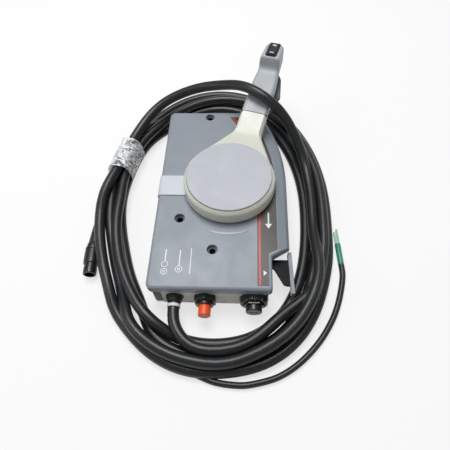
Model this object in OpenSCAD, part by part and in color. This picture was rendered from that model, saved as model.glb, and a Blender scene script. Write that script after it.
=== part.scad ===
// Side-mount throttle and shift control for an outboard motor, with its engine harness.
// The origin is the lever shaft's axis on the mounting face. +Z points out of the face,
// +Y to the forward end and +X to the edge that is uppermost when the box is mounted.

/* [Case] */
// Width of the face beside the switches
case_w = 128; // [124:1:136]
// Length of the case, from the switch end to the forward end
case_l = 249; // [244:1:262]
// Height of the face above the mounting surface
face_h = 43.4; // [43:0.2:48]
// Distance from the left edge to the lever shaft
shaft_from_left = 81; // [79:1:84]
// Distance from the switch end to the lever shaft
shaft_from_rear = 128; // [126:1:134]
// How far the top side bulges past the face beside the switches
bulge = 19; // [17:0.5:21]
// Distance from the switch end to the step in the top side
step_from_rear = 38; // [37:0.5:40]
// Length of the step, along the case
step_l = 12; // [10:0.5:14]
// Radius of the bulged side's curve
bulge_r = 237; // [225:1:260]
// Radius of the case's corners
corner_r = 7; // [4:0.5:9]
// Depth of the face cover's rim
rim_h = 10; // [9.4:0.2:11]
// Thickness of the face
face_t = 3; // [2.6:0.1:3.4]
// Thickness of the cover's rim
rim_t = 2.5; // [2:0.1:2.7]
// Chamfer round the face
edge_c = 3.5; // [2:0.25:4]
// Width of the sloping flank on the bulged side
flank_w = 12.5; // [11:0.5:14]
// Height of the sloping flank
flank_h = 9; // [8:0.25:9]
// Thickness of the case's walls
wall_t = 3; // [2.5:0.25:3.5]
// Thickness of the steel back plate
plate_t = 3; // [2.5:0.25:3.5]
// Thickness of the plate on the switch end
end_plate_t = 1.5; // [1:0.1:2]

/* [Mounting] */
// Radius of the mounting holes
mount_r = 3.25; // [3:0.05:3.4]
// Radius of the counterbores over the mounting holes
counterbore_r = 5.5; // [5:0.1:6]
// Depth of the counterbores
counterbore_h = 4.5; // [4:0.5:6]
// Wall of the steel sleeves in the mounting holes
sleeve_t = 1.25; // [1:0.05:1.5]
// Radius of the case screws' shanks
screw_r = 2; // [1.8:0.1:2.2]

/* [Trim] */
// Width of the slot cover on the left edge
slot_cover_w = 28; // [24:1:32]
// Thickness of the slot cover
slot_cover_t = 1.3; // [1:0.1:1.5]
// Width of the indicator strip
strip_w = 20; // [18:0.5:21]
// Depth of the strip's recess
strip_h = 0.8; // [0.6:0.1:1]
// Width of the red line
line_w = 2; // [1.6:0.1:2.4]

/* [Lever] */
// Angle from neutral to the rest position, full ahead
rest_angle = 73.4; // [71:0.2:75]
// Radius of the lever shaft
shaft_r = 8; // [7:0.25:8.5]
// Radius of the hub
hub_r = 51.6; // [50:0.2:53]
// Height of the hub's ring
hub_h = 17; // [16:0.5:18]
// Gap between the face and the hub
hub_gap = 2; // [1.8:0.1:2.4]
// Width of the hub's rim round the disc
hub_rim_w = 4; // [3.4:0.2:5]
// How far the disc stands above the ring
disc_proud = 1.9; // [1:0.1:2.4]
// Width of the arm at its neck
neck_w = 33; // [30:0.5:35]
// Thickness of the arm
arm_t = 12.5; // [11.5:0.5:13.5]
// Distance from the shaft to the joint between arm and grip
arm_l = 96; // [94:1:100]
// Rise of the arm and grip, in degrees
arm_rise = 14.5; // [13:0.5:15]
// Distance from the shaft to the grip's end
reach = 195; // [192:1:200]
// Width of the grip's head
head_w = 25; // [24:0.5:27]
// Height of the grip's head above the grip
head_h = 14; // [12:0.5:15]
// Length of the grip's head
head_l = 34; // [33:0.5:36]
// Length of the neutral-lock trigger
trigger_l = 32; // [28:1:34]
// Thickness of the grip under its parting line
grip_back_t = 9; // [8:0.25:10]

/* [Drive] */
// Module of the gear teeth
tooth_m = 2; // [2:1:2]
// Teeth on the drive gear
drive_teeth = 20; // [20:1:20]
// Teeth on a full circle of each sector
sector_teeth = 36; // [36:1:36]
// Thickness of the gears
gear_t = 8; // [6:0.5:8]
// Wall of the shaft's bushes
bush_t = 4; // [3:0.25:4.5]
// Radius of the detent plate
detent_r = 25; // [24:0.25:26]
// Radius of the detent ball
ball_r = 3; // [2.5:0.25:3.25]
// Radius of the sectors' posts
post_r = 4; // [3.5:0.25:4.5]
// Length of the sectors' arms
cable_arm_l = 30; // [28:0.5:32]

/* [Switches] */
// Height of the key switch's axis
key_z = 18; // [17.6:0.1:18.2]
// Distance of the key switch from the shaft, across the case
key_x = 28.8; // [28:0.2:29.4]
// Radius of the key switch's ring nut
key_nut_r = 15; // [14:0.2:15.2]
// Radius of the key cap
key_cap_r = 8.5; // [7.5:0.25:9]
// Length of the key cap
key_cap_l = 6; // [5:0.5:8]
// Height of the stop switch's axis
stop_z = 19; // [18:0.1:20]
// Distance of the stop switch from the shaft, across the case
stop_x = 21.7; // [20:0.2:23]
// Width across the flats of the stop switch's nut
stop_nut_af = 22; // [21:0.5:23]
// Radius of the stop button
button_r = 6.5; // [6:0.1:6.6]
// Travel of the stop button
button_travel = 3; // [2:0.25:3.5]

/* [Fast idle] */
// Thickness of the fast-idle lever's plates
idle_t = 3; // [2.5:0.25:3]
// Height of the fast-idle lever's thumb plate
idle_h = 8.5; // [7:0.5:8.5]
// Length of the thumb plate
idle_l = 47; // [42:1:48]

/* [Harness] */
// Diameter of the engine harness
cord_d = 12.3; // [12.3:0.1:12.3]
// Diameter of the thin branch lead
branch_d = 6.6; // [6.6:0.1:6.6]
// Radius of the cable gland's flange
gland_r = 9.2; // [9:0.1:10]

/* [Hidden] */
$fn = 64;

// Clearances
run_c = 0.05; // radial clearance of a running fit
fit_c = 0.1; // clearance between fixed pieces
move_c = 0.3; // clearance round pieces that move

// Case, edges and corners
x_left = -shaft_from_left;
x_right = x_left + case_w;
x_bulge = x_right + bulge;
y_rear = -shaft_from_rear;
y_front = y_rear + case_l;
y_step = y_rear + step_from_rear;
y_bulge = 10; // where the bulged side starts to curve
tub_inset = rim_t + 0.5;
cavity_inset = tub_inset + wall_t;
rim_z = face_h - rim_h;
flank_z = face_h - flank_h;
face_in_z = face_h - face_t;
flank_knee_w = 3.5; // width of the flank's steep outer band
flank_knee_h = 5; // height of the flank's steep outer band
face_r = 190; // radius of the face's curved right edge
idle_recess = 22; // how much deeper the tub's step is than the cover's

// Mounting holes, case screws
mounts = [[-28.5, y_front - 9.5], [-53.5, -44.5], [-15.5, y_rear + 45]];
mount_z = face_h - counterbore_h; // floor of the counterbores
cup_r = counterbore_r + 2;
cup_z = rim_z - 2;
sleeve_r = mount_r + sleeve_t;
boss_r = sleeve_r + 2.4;
screw_boss_r = screw_r + 2.5;
screw_inset = 12; // from the case's edges to the case screws
screws = [[x_left + screw_inset, y_front - screw_inset], [30, y_front - screw_inset],
    [x_left + screw_inset, -72], [x_bulge - screw_inset - 2, -44]];

// Strip
strip_edge = x_bulge - flank_w - 0.6;
strip_x = strip_edge - strip_w;

// Shaft and drive, from the back plate up
bush_r = shaft_r + bush_t;
bush_top = plate_t + 8;
gear_z = bush_top + 0.5;
detent_z = gear_z + gear_t;
detent_t = 4;
spacer_z = detent_z + detent_t;
front_bush_z = face_in_z - 9;
front_flange_t = 1.2;
pitch_drive = tooth_m * drive_teeth / 2;
pitch_sector = tooth_m * sector_teeth / 2;
sector_d = pitch_drive + pitch_sector + 0.1;
tooth_add = 0.85 * tooth_m;
tooth_ded = 1.2 * tooth_m;
pin_r = 2; // the cable pins on the sectors' arms

// Hub and lever, in the lever's own frame: +X along the lever
hub_z = face_h + hub_gap;
ring_top = hub_z + hub_h;
disc_top = ring_top + disc_proud;
disc_r = hub_r - hub_rim_w;
disc_t = 4;
leg_r = 3; // the disc's three legs
web_z = hub_z + 6;
web_t = 4;
rise = tan(arm_rise);
rise_x = 66; // where the lever's top starts to rise
scoop_x = reach - 45; // foot of the thumb scoop
head_x = reach - head_l;
head_z = top_z(head_x) + head_h;
part_drop = arm_t / 2; // parting line below the lever's top
tang_t = 7;
tang_w = 18;
tang_l = 36;
rocker_x = reach - 18.5;
rocker_l = 22;
rocker_w = 9.6;
bezel = 2.4;
rocker_z = head_z - 5;
switch_z = part_z(rocker_x + rocker_l / 2 + bezel) + 0.3;
trigger_x = reach - 24;
trigger_z = part_z(trigger_x) - grip_back_t - 2.5;

// Switches
key_body_l = 30;
key_cap_y = 9.2; // from the end plate to the key cap
wall_in_y = y_rear + cavity_inset;
wall_out_y = y_rear + tub_inset;
plate_out_y = wall_out_y - end_plate_t;

// Fast-idle lever: it turns about a post inside the case
idle_x = x_right - 11;
idle_y = y_step + 10;
idle_z = 24.2;
idle_angle = -87.6; // the thumb plate's own direction

// Cable gland and harness
gland_x = -53.5;
gland_z = 20;
gland_l = 7.5;
lead_y = plate_out_y - gland_l;
strand = cord_d / 2;
coil_h = 23.4;
lead_route = [[gland_x, lead_y, gland_z], [-53.5, -141, 20], [-53.1, -149, 20],
    [-51.6, -156.5, 19.8], [-48.8, -163.6, 19.5], [-44.6, -170, 19]];
branch_route = [[-22, -203, 3.4], [-8, -207.5, 3.4], [8, -209.5, 3.4], [24, -209, 3.4],
    [46, -203.5, 3.4], [60, -197, 3.4], [73, -188, 3.4], [85, -177, 3.4], [96, -164.5, 3.4],
    [105, -151.5, 3.4], [113, -137, 3.4], [119, -122, 3.4], [123.4, -107, 3.4],
    [126.2, -94, 3.4], [126.8, -86, 3.4], [126.4, -78, 3.4]];
branch_tip = branch_route[len(branch_route) - 1];
branch_way = branch_tip - branch_route[len(branch_route) - 2];
branch_turn = atan2(-branch_way[0], branch_way[1]);
sleeve_l = 26;

// ---------- Helpers ----------

function unit(v) = v / norm(v);

// Corner p between a and b as an arc of radius r in n steps.
function arc_corner(a, p, b, r, n) =
    let (u = unit(a - p), v = unit(b - p), half = acos(u * v) / 2,
        c = p + unit(u + v) * r / sin(half), s = p + u * r / tan(half) - c,
        e = p + v * r / tan(half) - c, a0 = atan2(s[1], s[0]),
        turn = (atan2(e[1], e[0]) - a0 + 540) % 360 - 180)
    [for (i = [0:n]) c + r * [cos(a0 + turn * i / n), sin(a0 + turn * i / n)]];

// The outline again, with corner i rounded to radii[i]; 0 leaves it sharp.
function rounded(pts, radii, n = 6) = let (m = len(pts))
    [for (i = [0:m - 1]) each radii[i] > 0
        ? arc_corner(pts[(i + m - 1) % m], pts[i], pts[(i + 1) % m], radii[i], n) : [pts[i]]];

// An arc that leaves x = x0 at y0 and bends to the left with radius r, up to y1.
function bend_left(x0, r, y0, y1, n) = let (a = asin((y1 - y0) / r))
    [for (i = [0:n]) [x0 - r + r * cos(a * i / n), y0 + r * sin(a * i / n)]];

// How far the step's corners move along Y when the outline is inset by 1.
step_k = (1 - step_l / norm([bulge, step_l])) / (bulge / norm([bulge, step_l]));

// The cover's outline, inset by i.
function case_outline(i, recess = 0) =
    let (side = bend_left(x_bulge - i, bulge_r - i, y_bulge, y_front - i, 12), m = len(side),
        r = max(corner_r - i, 0.2))
    rounded(concat([[x_left + i, y_rear + i], [x_right - i, y_rear + i],
        [x_right - i, y_step + recess / 2 + i * step_k],
        [x_bulge - i, y_step + step_l + recess + i * step_k]], side,
        [[x_left + i, y_front - i]]),
        concat([r, r / 2, 0, 0], [for (k = [1:m - 1]) 0], [r], [r]));

// The bulged part of the face at one level: right edge at x, curved edge of radius r.
function bulge_outline(i, x, r, y0) =
    let (side = bend_left(x, r, y0, y_front - i, 10), low = x_right - min(i, 3))
    rounded(concat([[x_left + i, y_step - 2], [low, y_step - 2],
        [low, y_step + min(i, 3) * step_k],
        [x, y_step + step_l * (x - x_right) / bulge + i * 0.7]], side, [[x_left + i, y_front - i]]),
        concat([0, 0, 0, 0], [for (k = [1:len(side) - 1]) 0], [max(corner_r - i, 1)],
        [max(corner_r - i, 1)]));

module slab(pts, z, h = 0.01) {
    translate([0, 0, z]) linear_extrude(h) polygon(pts);
}

// The cover's convex main part, from its rim to its face, inset by i on every side.
module cover_main(i, top) {
    hull() {
        slab(bulge_outline(i, x_bulge - i, bulge_r - i, y_bulge), rim_z, flank_z - rim_z);
        slab(bulge_outline(i, x_bulge - flank_knee_w - i, (bulge_r + face_r) / 2 - i, y_bulge / 2),
            min(face_h - flank_h + flank_knee_h, top - 1));
        slab(bulge_outline(i + edge_c, x_bulge - flank_w - i, face_r - i, 0), top - 0.01);
    }
}

// The cover's part beside the switches.
module cover_rear(i, top) {
    hull() {
        slab(rounded([[x_left + i, y_rear + i], [x_right - i, y_rear + i],
            [x_right - i, y_step + i * step_k], [x_left + i, y_step + 10]],
            [max(corner_r - i, 1), max(corner_r / 2 - i, 1), 0, 0]), rim_z,
            face_h - edge_c - rim_z - i);
        slab(rounded([[x_left + i + edge_c, y_rear + i + edge_c],
            [x_right - i - edge_c * 0.8, y_rear + i + edge_c],
            [x_right - i - edge_c * 0.8, y_step + (i + edge_c) * step_k],
            [x_left + i + edge_c, y_step + 10]],
            [max(corner_r - i - edge_c, 1), 1, 0, 0]), top - 0.01);
    }
}

// A gear tooth outline on pitch radius r, pointing along +X.
function tooth(r) = let (q = tooth_m * 3.1416 / 4)
    [[r - tooth_ded, -q * 1.25], [r, -q * 0.94], [r + tooth_add, -q * 0.5],
        [r + tooth_add, q * 0.5], [r, q * 0.94], [r - tooth_ded, q * 1.25]];

// Teeth in a fan from angle a0, n of them, pitch p degrees.
module teeth(r, a0, n, p) {
    for (k = [0:n - 1]) rotate(a0 + k * p) polygon(tooth(r));
}

// Rings of points round a route, as one closed tube.
module tube(route, d, sides) {
    n = len(route);
    function way(i) = unit(route[min(i + 1, n - 1)] - route[max(i - 1, 0)]);
    function side(i) = unit(cross(way(i), [0, 0, 1]));
    function ring(i) = let (s = side(i), u = cross(s, way(i)))
        [for (k = [0:sides - 1]) route[i] + d / 2 * (cos(360 * k / sides) * s
            + sin(360 * k / sides) * u)];
    pts = [for (i = [0:n - 1]) each ring(i)];
    polyhedron(pts, concat([[for (k = [0:sides - 1]) k]],
        [for (i = [0:n - 2]) each [for (k = [0:sides - 1]) [i * sides + k, (i + 1) * sides + k,
            (i + 1) * sides + (k + 1) % sides, i * sides + (k + 1) % sides]]],
        [[for (k = [0:sides - 1]) (n - 1) * sides + sides - 1 - k]]), convexity = 6);
}

// A closed oval through its four extreme points, fuller in its lower right quarter.
function oval(left, right, rear, front, n = 64) =
    [for (k = [0:n - 1]) let (a = 360 * k / n, full = a > 270 ? 1 + 0.075 * pow(sin(2 * a), 2) : 1)
        [(left + right) / 2 + (right - left) / 2 * cos(a) * full,
            (rear + front) / 2 + (front - rear) / 2 * sin(a) * full]];

module lever_frame() {
    rotate(rest_angle) children();
}

// Height of the lever's top at x, before the head.
function top_z(x) = ring_top + max(x - rise_x, 0) * rise;
// Height of the grip's parting plane.
function part_z(x) = top_z(x) - part_drop;

// A solid that follows a side profile (x, z), w wide.
module side_solid(pts, w) {
    translate([0, w / 2, 0]) rotate([90, 0, 0]) linear_extrude(w) polygon(pts);
}

// ---------- Case ----------

module back_plate() {
    color("silver") difference() {
        linear_extrude(plate_t) polygon(case_outline(tub_inset, idle_recess));
        for (m = mounts) translate([m[0], m[1], -1]) cylinder(r = sleeve_r + fit_c, h = plate_t + 2);
        for (s = screws) translate([s[0], s[1], 0]) screw_hole();
    }
}

module screw_hole() {
    translate([0, 0, -1]) cylinder(r = screw_r + 0.2, h = face_h);
    translate([0, 0, -0.01]) cylinder(r1 = screw_r * 2 + 0.1, r2 = screw_r + 0.1, h = screw_r);
}

module case_tub() {
    color([0.1, 0.1, 0.11]) difference() {
        union() {
            difference() {
                translate([0, 0, plate_t]) linear_extrude(rim_z + 0.6 - plate_t)
                    polygon(case_outline(tub_inset, idle_recess));
                translate([0, 0, plate_t - 1]) linear_extrude(face_h)
                    polygon(case_outline(cavity_inset, idle_recess));
            }
            for (m = mounts) translate([m[0], m[1], plate_t])
                cylinder(r = boss_r, h = cup_z - plate_t);
            for (s = screws) translate([s[0], s[1], plate_t]) cylinder(r = 5, h = rim_z - plate_t);
            translate([x_left + tub_inset, screws[0][1] - 2, plate_t])
                cube([screws[0][0] - x_left - tub_inset, 4, rim_z - plate_t]);
            translate([x_left + tub_inset, screws[2][1] - 2, plate_t])
                cube([screws[2][0] - x_left - tub_inset, 4, rim_z - plate_t]);
            translate([screws[1][0] - 2, screws[1][1], plate_t])
                cube([4, y_front - tub_inset - 1 - screws[1][1], rim_z - plate_t]);
            translate([screws[3][0], screws[3][1] - 2, plate_t])
                cube([x_bulge - tub_inset - screws[3][0], 4, rim_z - plate_t]);
            translate([mounts[0][0] - 2, mounts[0][1], plate_t])
                cube([4, y_front - tub_inset - 1 - mounts[0][1], cup_z - plate_t]);
            translate([x_left + tub_inset, mounts[1][1] - 2, plate_t])
                cube([mounts[1][0] - x_left - tub_inset, 4, cup_z - plate_t]);
            translate([mounts[2][0] - 2, wall_out_y, plate_t])
                cube([4, mounts[2][1] - wall_out_y, 5]);
        }
        for (m = mounts) translate([m[0], m[1], 0]) {
            cylinder(r = sleeve_r + fit_c, h = face_h);
            translate([0, 0, cup_z]) cylinder(r = cup_r + fit_c, h = face_h);
        }
        for (s = screws) translate([s[0], s[1], 0]) {
            cylinder(r = screw_r + 0.2, h = face_h);
            translate([0, 0, rim_z]) cylinder(r = screw_boss_r + fit_c, h = face_h);
        }
        translate([key_x, y_rear, key_z]) rotate([-90, 0, 0]) cylinder(r = 11.2, h = 12);
        translate([-stop_x, y_rear, stop_z]) rotate([-90, 0, 0]) cylinder(r = 9.2, h = 12);
        translate([gland_x, y_rear, gland_z]) rotate([-90, 0, 0]) cylinder(r = 8.2, h = 12);
        // Slot in the top side for the fast-idle lever
        translate([x_right - cavity_inset - 3, y_step - 17, idle_z - 1])
            cube([14, 34, face_h]);
    }
}

module face_cover() {
    color([0.58, 0.61, 0.65]) difference() {
        union() {
            difference() {
                union() {
                    cover_main(0, face_h);
                    cover_rear(0, face_h);
                }
                difference() {
                    union() {
                        translate([0, 0, -0.02]) cover_main(rim_t, face_in_z);
                        translate([0, 0, -0.02]) cover_rear(rim_t, face_in_z);
                    }
                    translate([0, 0, face_in_z]) linear_extrude(face_t)
                        square(4 * case_l, center = true);
                }
            }
            for (m = mounts) translate([m[0], m[1], cup_z])
                cylinder(r = cup_r, h = face_h - cup_z - 1);
            for (s = screws) translate([s[0], s[1], rim_z])
                cylinder(r = screw_boss_r, h = rim_h - 1);
            translate([0, 0, front_bush_z]) cylinder(r = bush_r + 3, h = face_h - front_bush_z);
        }
        for (m = mounts) translate([m[0], m[1], 0]) {
            translate([0, 0, mount_z]) cylinder(r = counterbore_r, h = 20);
            cylinder(r = sleeve_r + fit_c, h = face_h);
        }
        for (s = screws) translate([s[0], s[1], rim_z - 1]) cylinder(r = screw_r, h = 8.5);
        translate([0, 0, front_bush_z - 1]) cylinder(r = bush_r + fit_c / 2, h = 20);
        translate([0, 0, face_h - strip_h]) linear_extrude(5) polygon(strip_outline(0));
    }
}

// The strip follows the face's right edge, inset by i.
function strip_outline(i) =
    let (y1 = y_front - edge_c - 6, right = bend_left(strip_edge - i, face_r - 0.6 - i, 0, y1 - i, 12),
        left = bend_left(strip_x + i, face_r - strip_w - 0.6 + i + 12, 0, y1 - i, 12),
        low = x_right - edge_c * 0.8 - 0.6 - i)
    concat([[strip_x + i, y_rear + edge_c + 1.6 + i], [low, y_rear + edge_c + 1.6 + i],
        [low, y_step + edge_c * step_k + 1.4 + i * step_k],
        [strip_edge - i, y_step + step_l * (strip_edge - x_right) / bulge + edge_c * 0.7 + 1.6 + i]],
        right, [for (k = [len(left) - 1:-1:0]) left[k]]);

module indicator_strip() {
    color([0.27, 0.25, 0.25]) difference() {
        translate([0, 0, face_h - strip_h]) linear_extrude(strip_h - 0.2)
            polygon(strip_outline(fit_c));
        translate([0, 0, face_h - 5]) linear_extrude(10) polygon(line_outline(fit_c));
    }
}

// The red line runs along the strip's inner edge.
function line_outline(g) =
    let (x0 = strip_x + 1.1, y0 = y_rear + edge_c + 2.4, y1 = y_front - edge_c - 7,
        r = face_r - strip_w + 11,
        right = bend_left(x0 + line_w + g, r + line_w + g, 0, y1 + g, 12),
        left = bend_left(x0 - g, r - g, 0, y1 + g, 12))
    concat([[x0 - g, y0 - g], [x0 + line_w + g, y0 - g]], right,
        [for (k = [len(left) - 1:-1:0]) left[k]]);

module red_line() {
    color([0.95, 0.4, 0.33]) translate([0, 0, face_h - strip_h])
        linear_extrude(strip_h - 0.1) polygon(line_outline(0));
}

module slot_cover() {
    t = slot_cover_t;
    color([0.78, 0.8, 0.84]) translate([0, slot_cover_w / 2, 0]) rotate([90, 0, 0])
        linear_extrude(slot_cover_w) polygon([[x_left, rim_z + 1], [x_left, face_h - edge_c],
            [x_left + edge_c, face_h], [-hub_r + 4, face_h], [-hub_r + 4, face_h + t],
            [x_left + edge_c - t / 2, face_h + t], [x_left - t, face_h - edge_c + t / 2],
            [x_left - t, rim_z + 1]]);
}

module end_plate() {
    color([0.6, 0.59, 0.55]) difference() {
        translate([x_left + 14, plate_out_y, plate_t]) cube([x_right - 6 - x_left - 14,
            end_plate_t, rim_z - plate_t]);
        translate([key_x, y_rear - 5, key_z]) rotate([-90, 0, 0]) cylinder(r = 11.2, h = 12);
        translate([-stop_x, y_rear - 5, stop_z]) rotate([-90, 0, 0]) cylinder(r = 9.2, h = 12);
        translate([gland_x, y_rear - 5, gland_z]) rotate([-90, 0, 0]) cylinder(r = 8.2, h = 12);
    }
}

module case_screws() {
    color("silver") for (s = screws) translate([s[0], s[1], 0]) {
        cylinder(r1 = screw_r * 2, r2 = screw_r, h = screw_r);
        cylinder(r = screw_r - 0.02, h = rim_z + 7);
    }
}

module mount_sleeves() {
    color("silver") for (m = mounts) translate([m[0], m[1], 0]) difference() {
        cylinder(r = sleeve_r, h = mount_z);
        translate([0, 0, -1]) cylinder(r = mount_r, h = mount_z + 2);
    }
}

// ---------- Shaft bearings, detent, posts ----------

module front_bush() {
    color("goldenrod") difference() {
        union() {
            translate([0, 0, front_bush_z]) cylinder(r = bush_r, h = face_h - front_bush_z);
            translate([0, 0, face_h]) cylinder(r = bush_r + 3, h = front_flange_t);
        }
        translate([0, 0, front_bush_z - 1]) cylinder(r = shaft_r + run_c, h = face_h);
    }
}

module back_bush() {
    color("goldenrod") difference() {
        union() {
            translate([0, 0, plate_t]) cylinder(r = bush_r + 4, h = 2);
            translate([0, 0, plate_t]) cylinder(r = bush_r, h = bush_top - plate_t);
        }
        translate([0, 0, plate_t + 1]) cylinder(r = shaft_r + run_c, h = 20);
    }
}

detent_x = detent_r + ball_r + 0.05;
detent_mid = detent_z + detent_t / 2;

module detent_holder() {
    color("dimgray") difference() {
        translate([detent_x + 1, -6, plate_t]) cube([16, 12, detent_mid + 6 - plate_t]);
        translate([detent_x - 1, 0, detent_mid]) rotate([0, 90, 0])
            cylinder(r = ball_r + 0.1, h = 15);
    }
}

module detent_spring() {
    color("lightgray") translate([detent_x + ball_r + 0.1, 0, detent_mid]) rotate([0, 90, 0])
        difference() {
            cylinder(r = ball_r - 0.2, h = 14 - ball_r - 0.2);
            translate([0, 0, -1]) cylinder(r = ball_r - 1, h = 20);
        }
}

module detent_ball() {
    color("silver") translate([detent_x, 0, detent_mid]) sphere(r = ball_r);
}

module post() {
    translate([0, 0, plate_t]) cylinder(r = post_r + 3, h = gear_z - 0.3 - plate_t);
    translate([0, 0, plate_t]) cylinder(r = post_r, h = gear_z + gear_t + 0.3 - plate_t);
    translate([0, 0, gear_z + gear_t + 0.3]) cylinder(r = post_r + 2, h = 1.2);
}

module shift_post() {
    color("silver") translate([0, sector_d, 0]) post();
}

module throttle_post() {
    color("silver") translate([0, -sector_d, 0]) post();
}

module neutral_switch() {
    color([0.15, 0.15, 0.3]) {
        translate([-detent_r - 15, -10, plate_t]) cube([12, 18.5, detent_mid + 4 - plate_t]);
        translate([-detent_r - 3, 0, detent_mid]) rotate([0, 90, 0]) cylinder(r = 1.5, h = 2.7);
    }
}

pad_z = spacer_z + 1;
spacer_r = shaft_r + 3;

module friction_pad() {
    color([0.45, 0.3, 0.2]) difference() {
        translate([-26, 6, pad_z]) cube([20, 14, 5]);
        translate([0, 0, pad_z - 1]) cylinder(r = spacer_r + 0.1, h = 8);
    }
}

module friction_screw() {
    color("silver") {
        translate([-30, 14, pad_z + 2.5]) rotate([0, 90, 0]) cylinder(r = 2, h = 4);
        translate([-33, 14, pad_z + 2.5]) rotate([0, 90, 0]) cylinder(r = 3.5, h = 3, $fn = 6);
        translate([-34, 9.5, plate_t]) cube([4, 9, pad_z + 6 - plate_t]);
    }
}

// ---------- Switches and gland on the rear end ----------

module along_y(x, y, z) {
    translate([x, y, z]) rotate([90, 0, 0]) children();
}

module key_switch_body() {
    color([0.25, 0.25, 0.26]) difference() {
        union() {
            along_y(key_x, wall_in_y, key_z) cylinder(r = 11, h = wall_in_y - plate_out_y + 7);
            along_y(key_x, wall_in_y + key_body_l - 4, key_z) cylinder(r = 11.8, h = key_body_l - 4);
        }
        along_y(key_x, plate_out_y + 6, key_z) cylinder(r = 5 + run_c, h = 30);
    }
}

module key_ring_nut() {
    color([0.12, 0.12, 0.13]) difference() {
        union() {
            along_y(key_x, plate_out_y, key_z) cylinder(r = key_nut_r, h = 2.5);
            along_y(key_x, plate_out_y - 2.5, key_z) cylinder(r = key_nut_r - 0.8, h = 4.2);
        }
        along_y(key_x, plate_out_y + 1, key_z) cylinder(r = 11.05, h = 20);
        for (k = [0:11]) along_y(key_x, plate_out_y - 2.6, key_z) rotate(k * 30)
            translate([key_nut_r, 0, 0]) cylinder(r = 1.6, h = 10, $fn = 20);
    }
}

module key_hex_ring() {
    color([0.62, 0.6, 0.52]) difference() {
        along_y(key_x, plate_out_y - 7, key_z) cylinder(r = 11.4, h = 1.9, $fn = 6);
        along_y(key_x, plate_out_y - 6, key_z) cylinder(r = 5.6, h = 20);
    }
}

module key_cap() {
    color([0.13, 0.13, 0.14]) difference() {
        union() {
            along_y(key_x, plate_out_y + 5.7, key_z) cylinder(r = 5, h = 17);
            along_y(key_x, plate_out_y - key_cap_y, key_z) cylinder(r = key_cap_r, h = key_cap_l);
        }
        along_y(key_x, plate_out_y - key_cap_y - key_cap_l + 3, key_z)
            translate([-4.5, -0.9, 0]) cube([9, 1.8, 6]);
    }
}

stop_sleeve = 9.5;

module stop_switch_body() {
    color([0.16, 0.16, 0.17]) difference() {
        union() {
            along_y(-stop_x, wall_in_y, stop_z) cylinder(r = 9,
                h = wall_in_y - plate_out_y + stop_sleeve);
            along_y(-stop_x, wall_in_y + 20, stop_z) cylinder(r = 10, h = 20);
        }
        along_y(-stop_x, plate_out_y + button_travel - 4, stop_z) cylinder(r = button_r + run_c + 0.04,
            h = 30);
    }
}

module stop_nut() {
    color([0.14, 0.14, 0.15]) difference() {
        union() {
            along_y(-stop_x, plate_out_y, stop_z) cylinder(r = stop_nut_af / 2 / cos(30), h = 6.5,
                $fn = 6);
            along_y(-stop_x, plate_out_y, stop_z) cylinder(r = stop_nut_af / 2 / cos(30), h = 1.5);
        }
        along_y(-stop_x, plate_out_y + 1, stop_z) cylinder(r = 9.05, h = 20);
    }
}

module stop_button() {
    color([0.95, 0.3, 0.1]) difference() {
        along_y(-stop_x, plate_out_y - 4.2, stop_z) cylinder(r = button_r, h = 16.4);
        along_y(-stop_x, plate_out_y - 3, stop_z) cylinder(r = button_r - 2, h = 12);
    }
}

module cable_gland() {
    color([0.1, 0.1, 0.1]) difference() {
        union() {
            along_y(gland_x, plate_out_y, gland_z) cylinder(r = gland_r, h = 2.5);
            along_y(gland_x, wall_in_y + 14, gland_z) cylinder(r = 8,
                h = wall_in_y + 14 - plate_out_y);
            along_y(gland_x, plate_out_y - 2.5, gland_z) cylinder(r1 = 8.6, r2 = strand + 0.9,
                h = gland_l - 2.5);
        }
        along_y(gland_x, wall_in_y + 20, gland_z) cylinder(r = strand - 2,
            h = 20 + wall_in_y - lead_y - 1);
    }
}

module gland_nut() {
    color([0.2, 0.2, 0.2]) difference() {
        along_y(gland_x, wall_in_y + 5, gland_z) cylinder(r = 11, h = 5, $fn = 6);
        along_y(gland_x, wall_in_y + 10, gland_z) cylinder(r = 8.05, h = 20);
    }
}

module cable_band() {
    color("white") difference() {
        along_y(gland_x, lead_y - 1, gland_z) cylinder(r = strand + 0.75, h = 2.2);
        along_y(gland_x, lead_y + 1, gland_z) cylinder(r = strand + 0.1, h = 20);
    }
}

// ---------- Fast-idle lever ----------

module idle_pivot() {
    color("silver") translate([idle_x, idle_y, 0]) {
        translate([0, 0, plate_t]) cylinder(r = 5, h = idle_z - 0.3 - plate_t);
        translate([0, 0, plate_t]) cylinder(r = 3, h = idle_z + 5.3 - plate_t);
        translate([0, 0, idle_z + 5.3]) cylinder(r = 4.5, h = 1);
    }
}

// A point of the thumb plate's middle plane, d along it and n to its outer side.
function thumb(d, n = 0) = [x_bulge + d * cos(idle_angle) - n * sin(idle_angle),
    y_step + 10.7 + d * sin(idle_angle) + n * cos(idle_angle)];

module idle_lever() {
    color([0.42, 0.43, 0.45]) difference() {
        union() {
            translate([idle_x, idle_y, idle_z]) cylinder(r = 6.5, h = 5);
            translate([0, 0, idle_z]) linear_extrude(idle_t) polygon([[idle_x - 3, idle_y + 5],
                [x_right + 3, y_step + 4.1], thumb(6.5), thumb(idle_l - 11),
                [x_right + 13, y_step - 25], [x_right + 3, y_step - 6.6], [idle_x - 3, idle_y - 5.8]]);
            translate([0, 0, idle_z]) linear_extrude(idle_h) polygon([thumb(0, -idle_t / 2),
                thumb(idle_l, -idle_t / 2), thumb(idle_l, idle_t / 2), thumb(0, idle_t / 2)]);
            // Rim along the web's lower edge
            translate([x_right + 3, y_step - 6.6, idle_z]) rotate(-61)
                cube([20, 1.6, idle_t + 1.5]);
        }
        translate([idle_x, idle_y, idle_z - 1]) cylinder(r = 3 + run_c, h = 10);
    }
}

// ---------- Harness ----------

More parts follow.
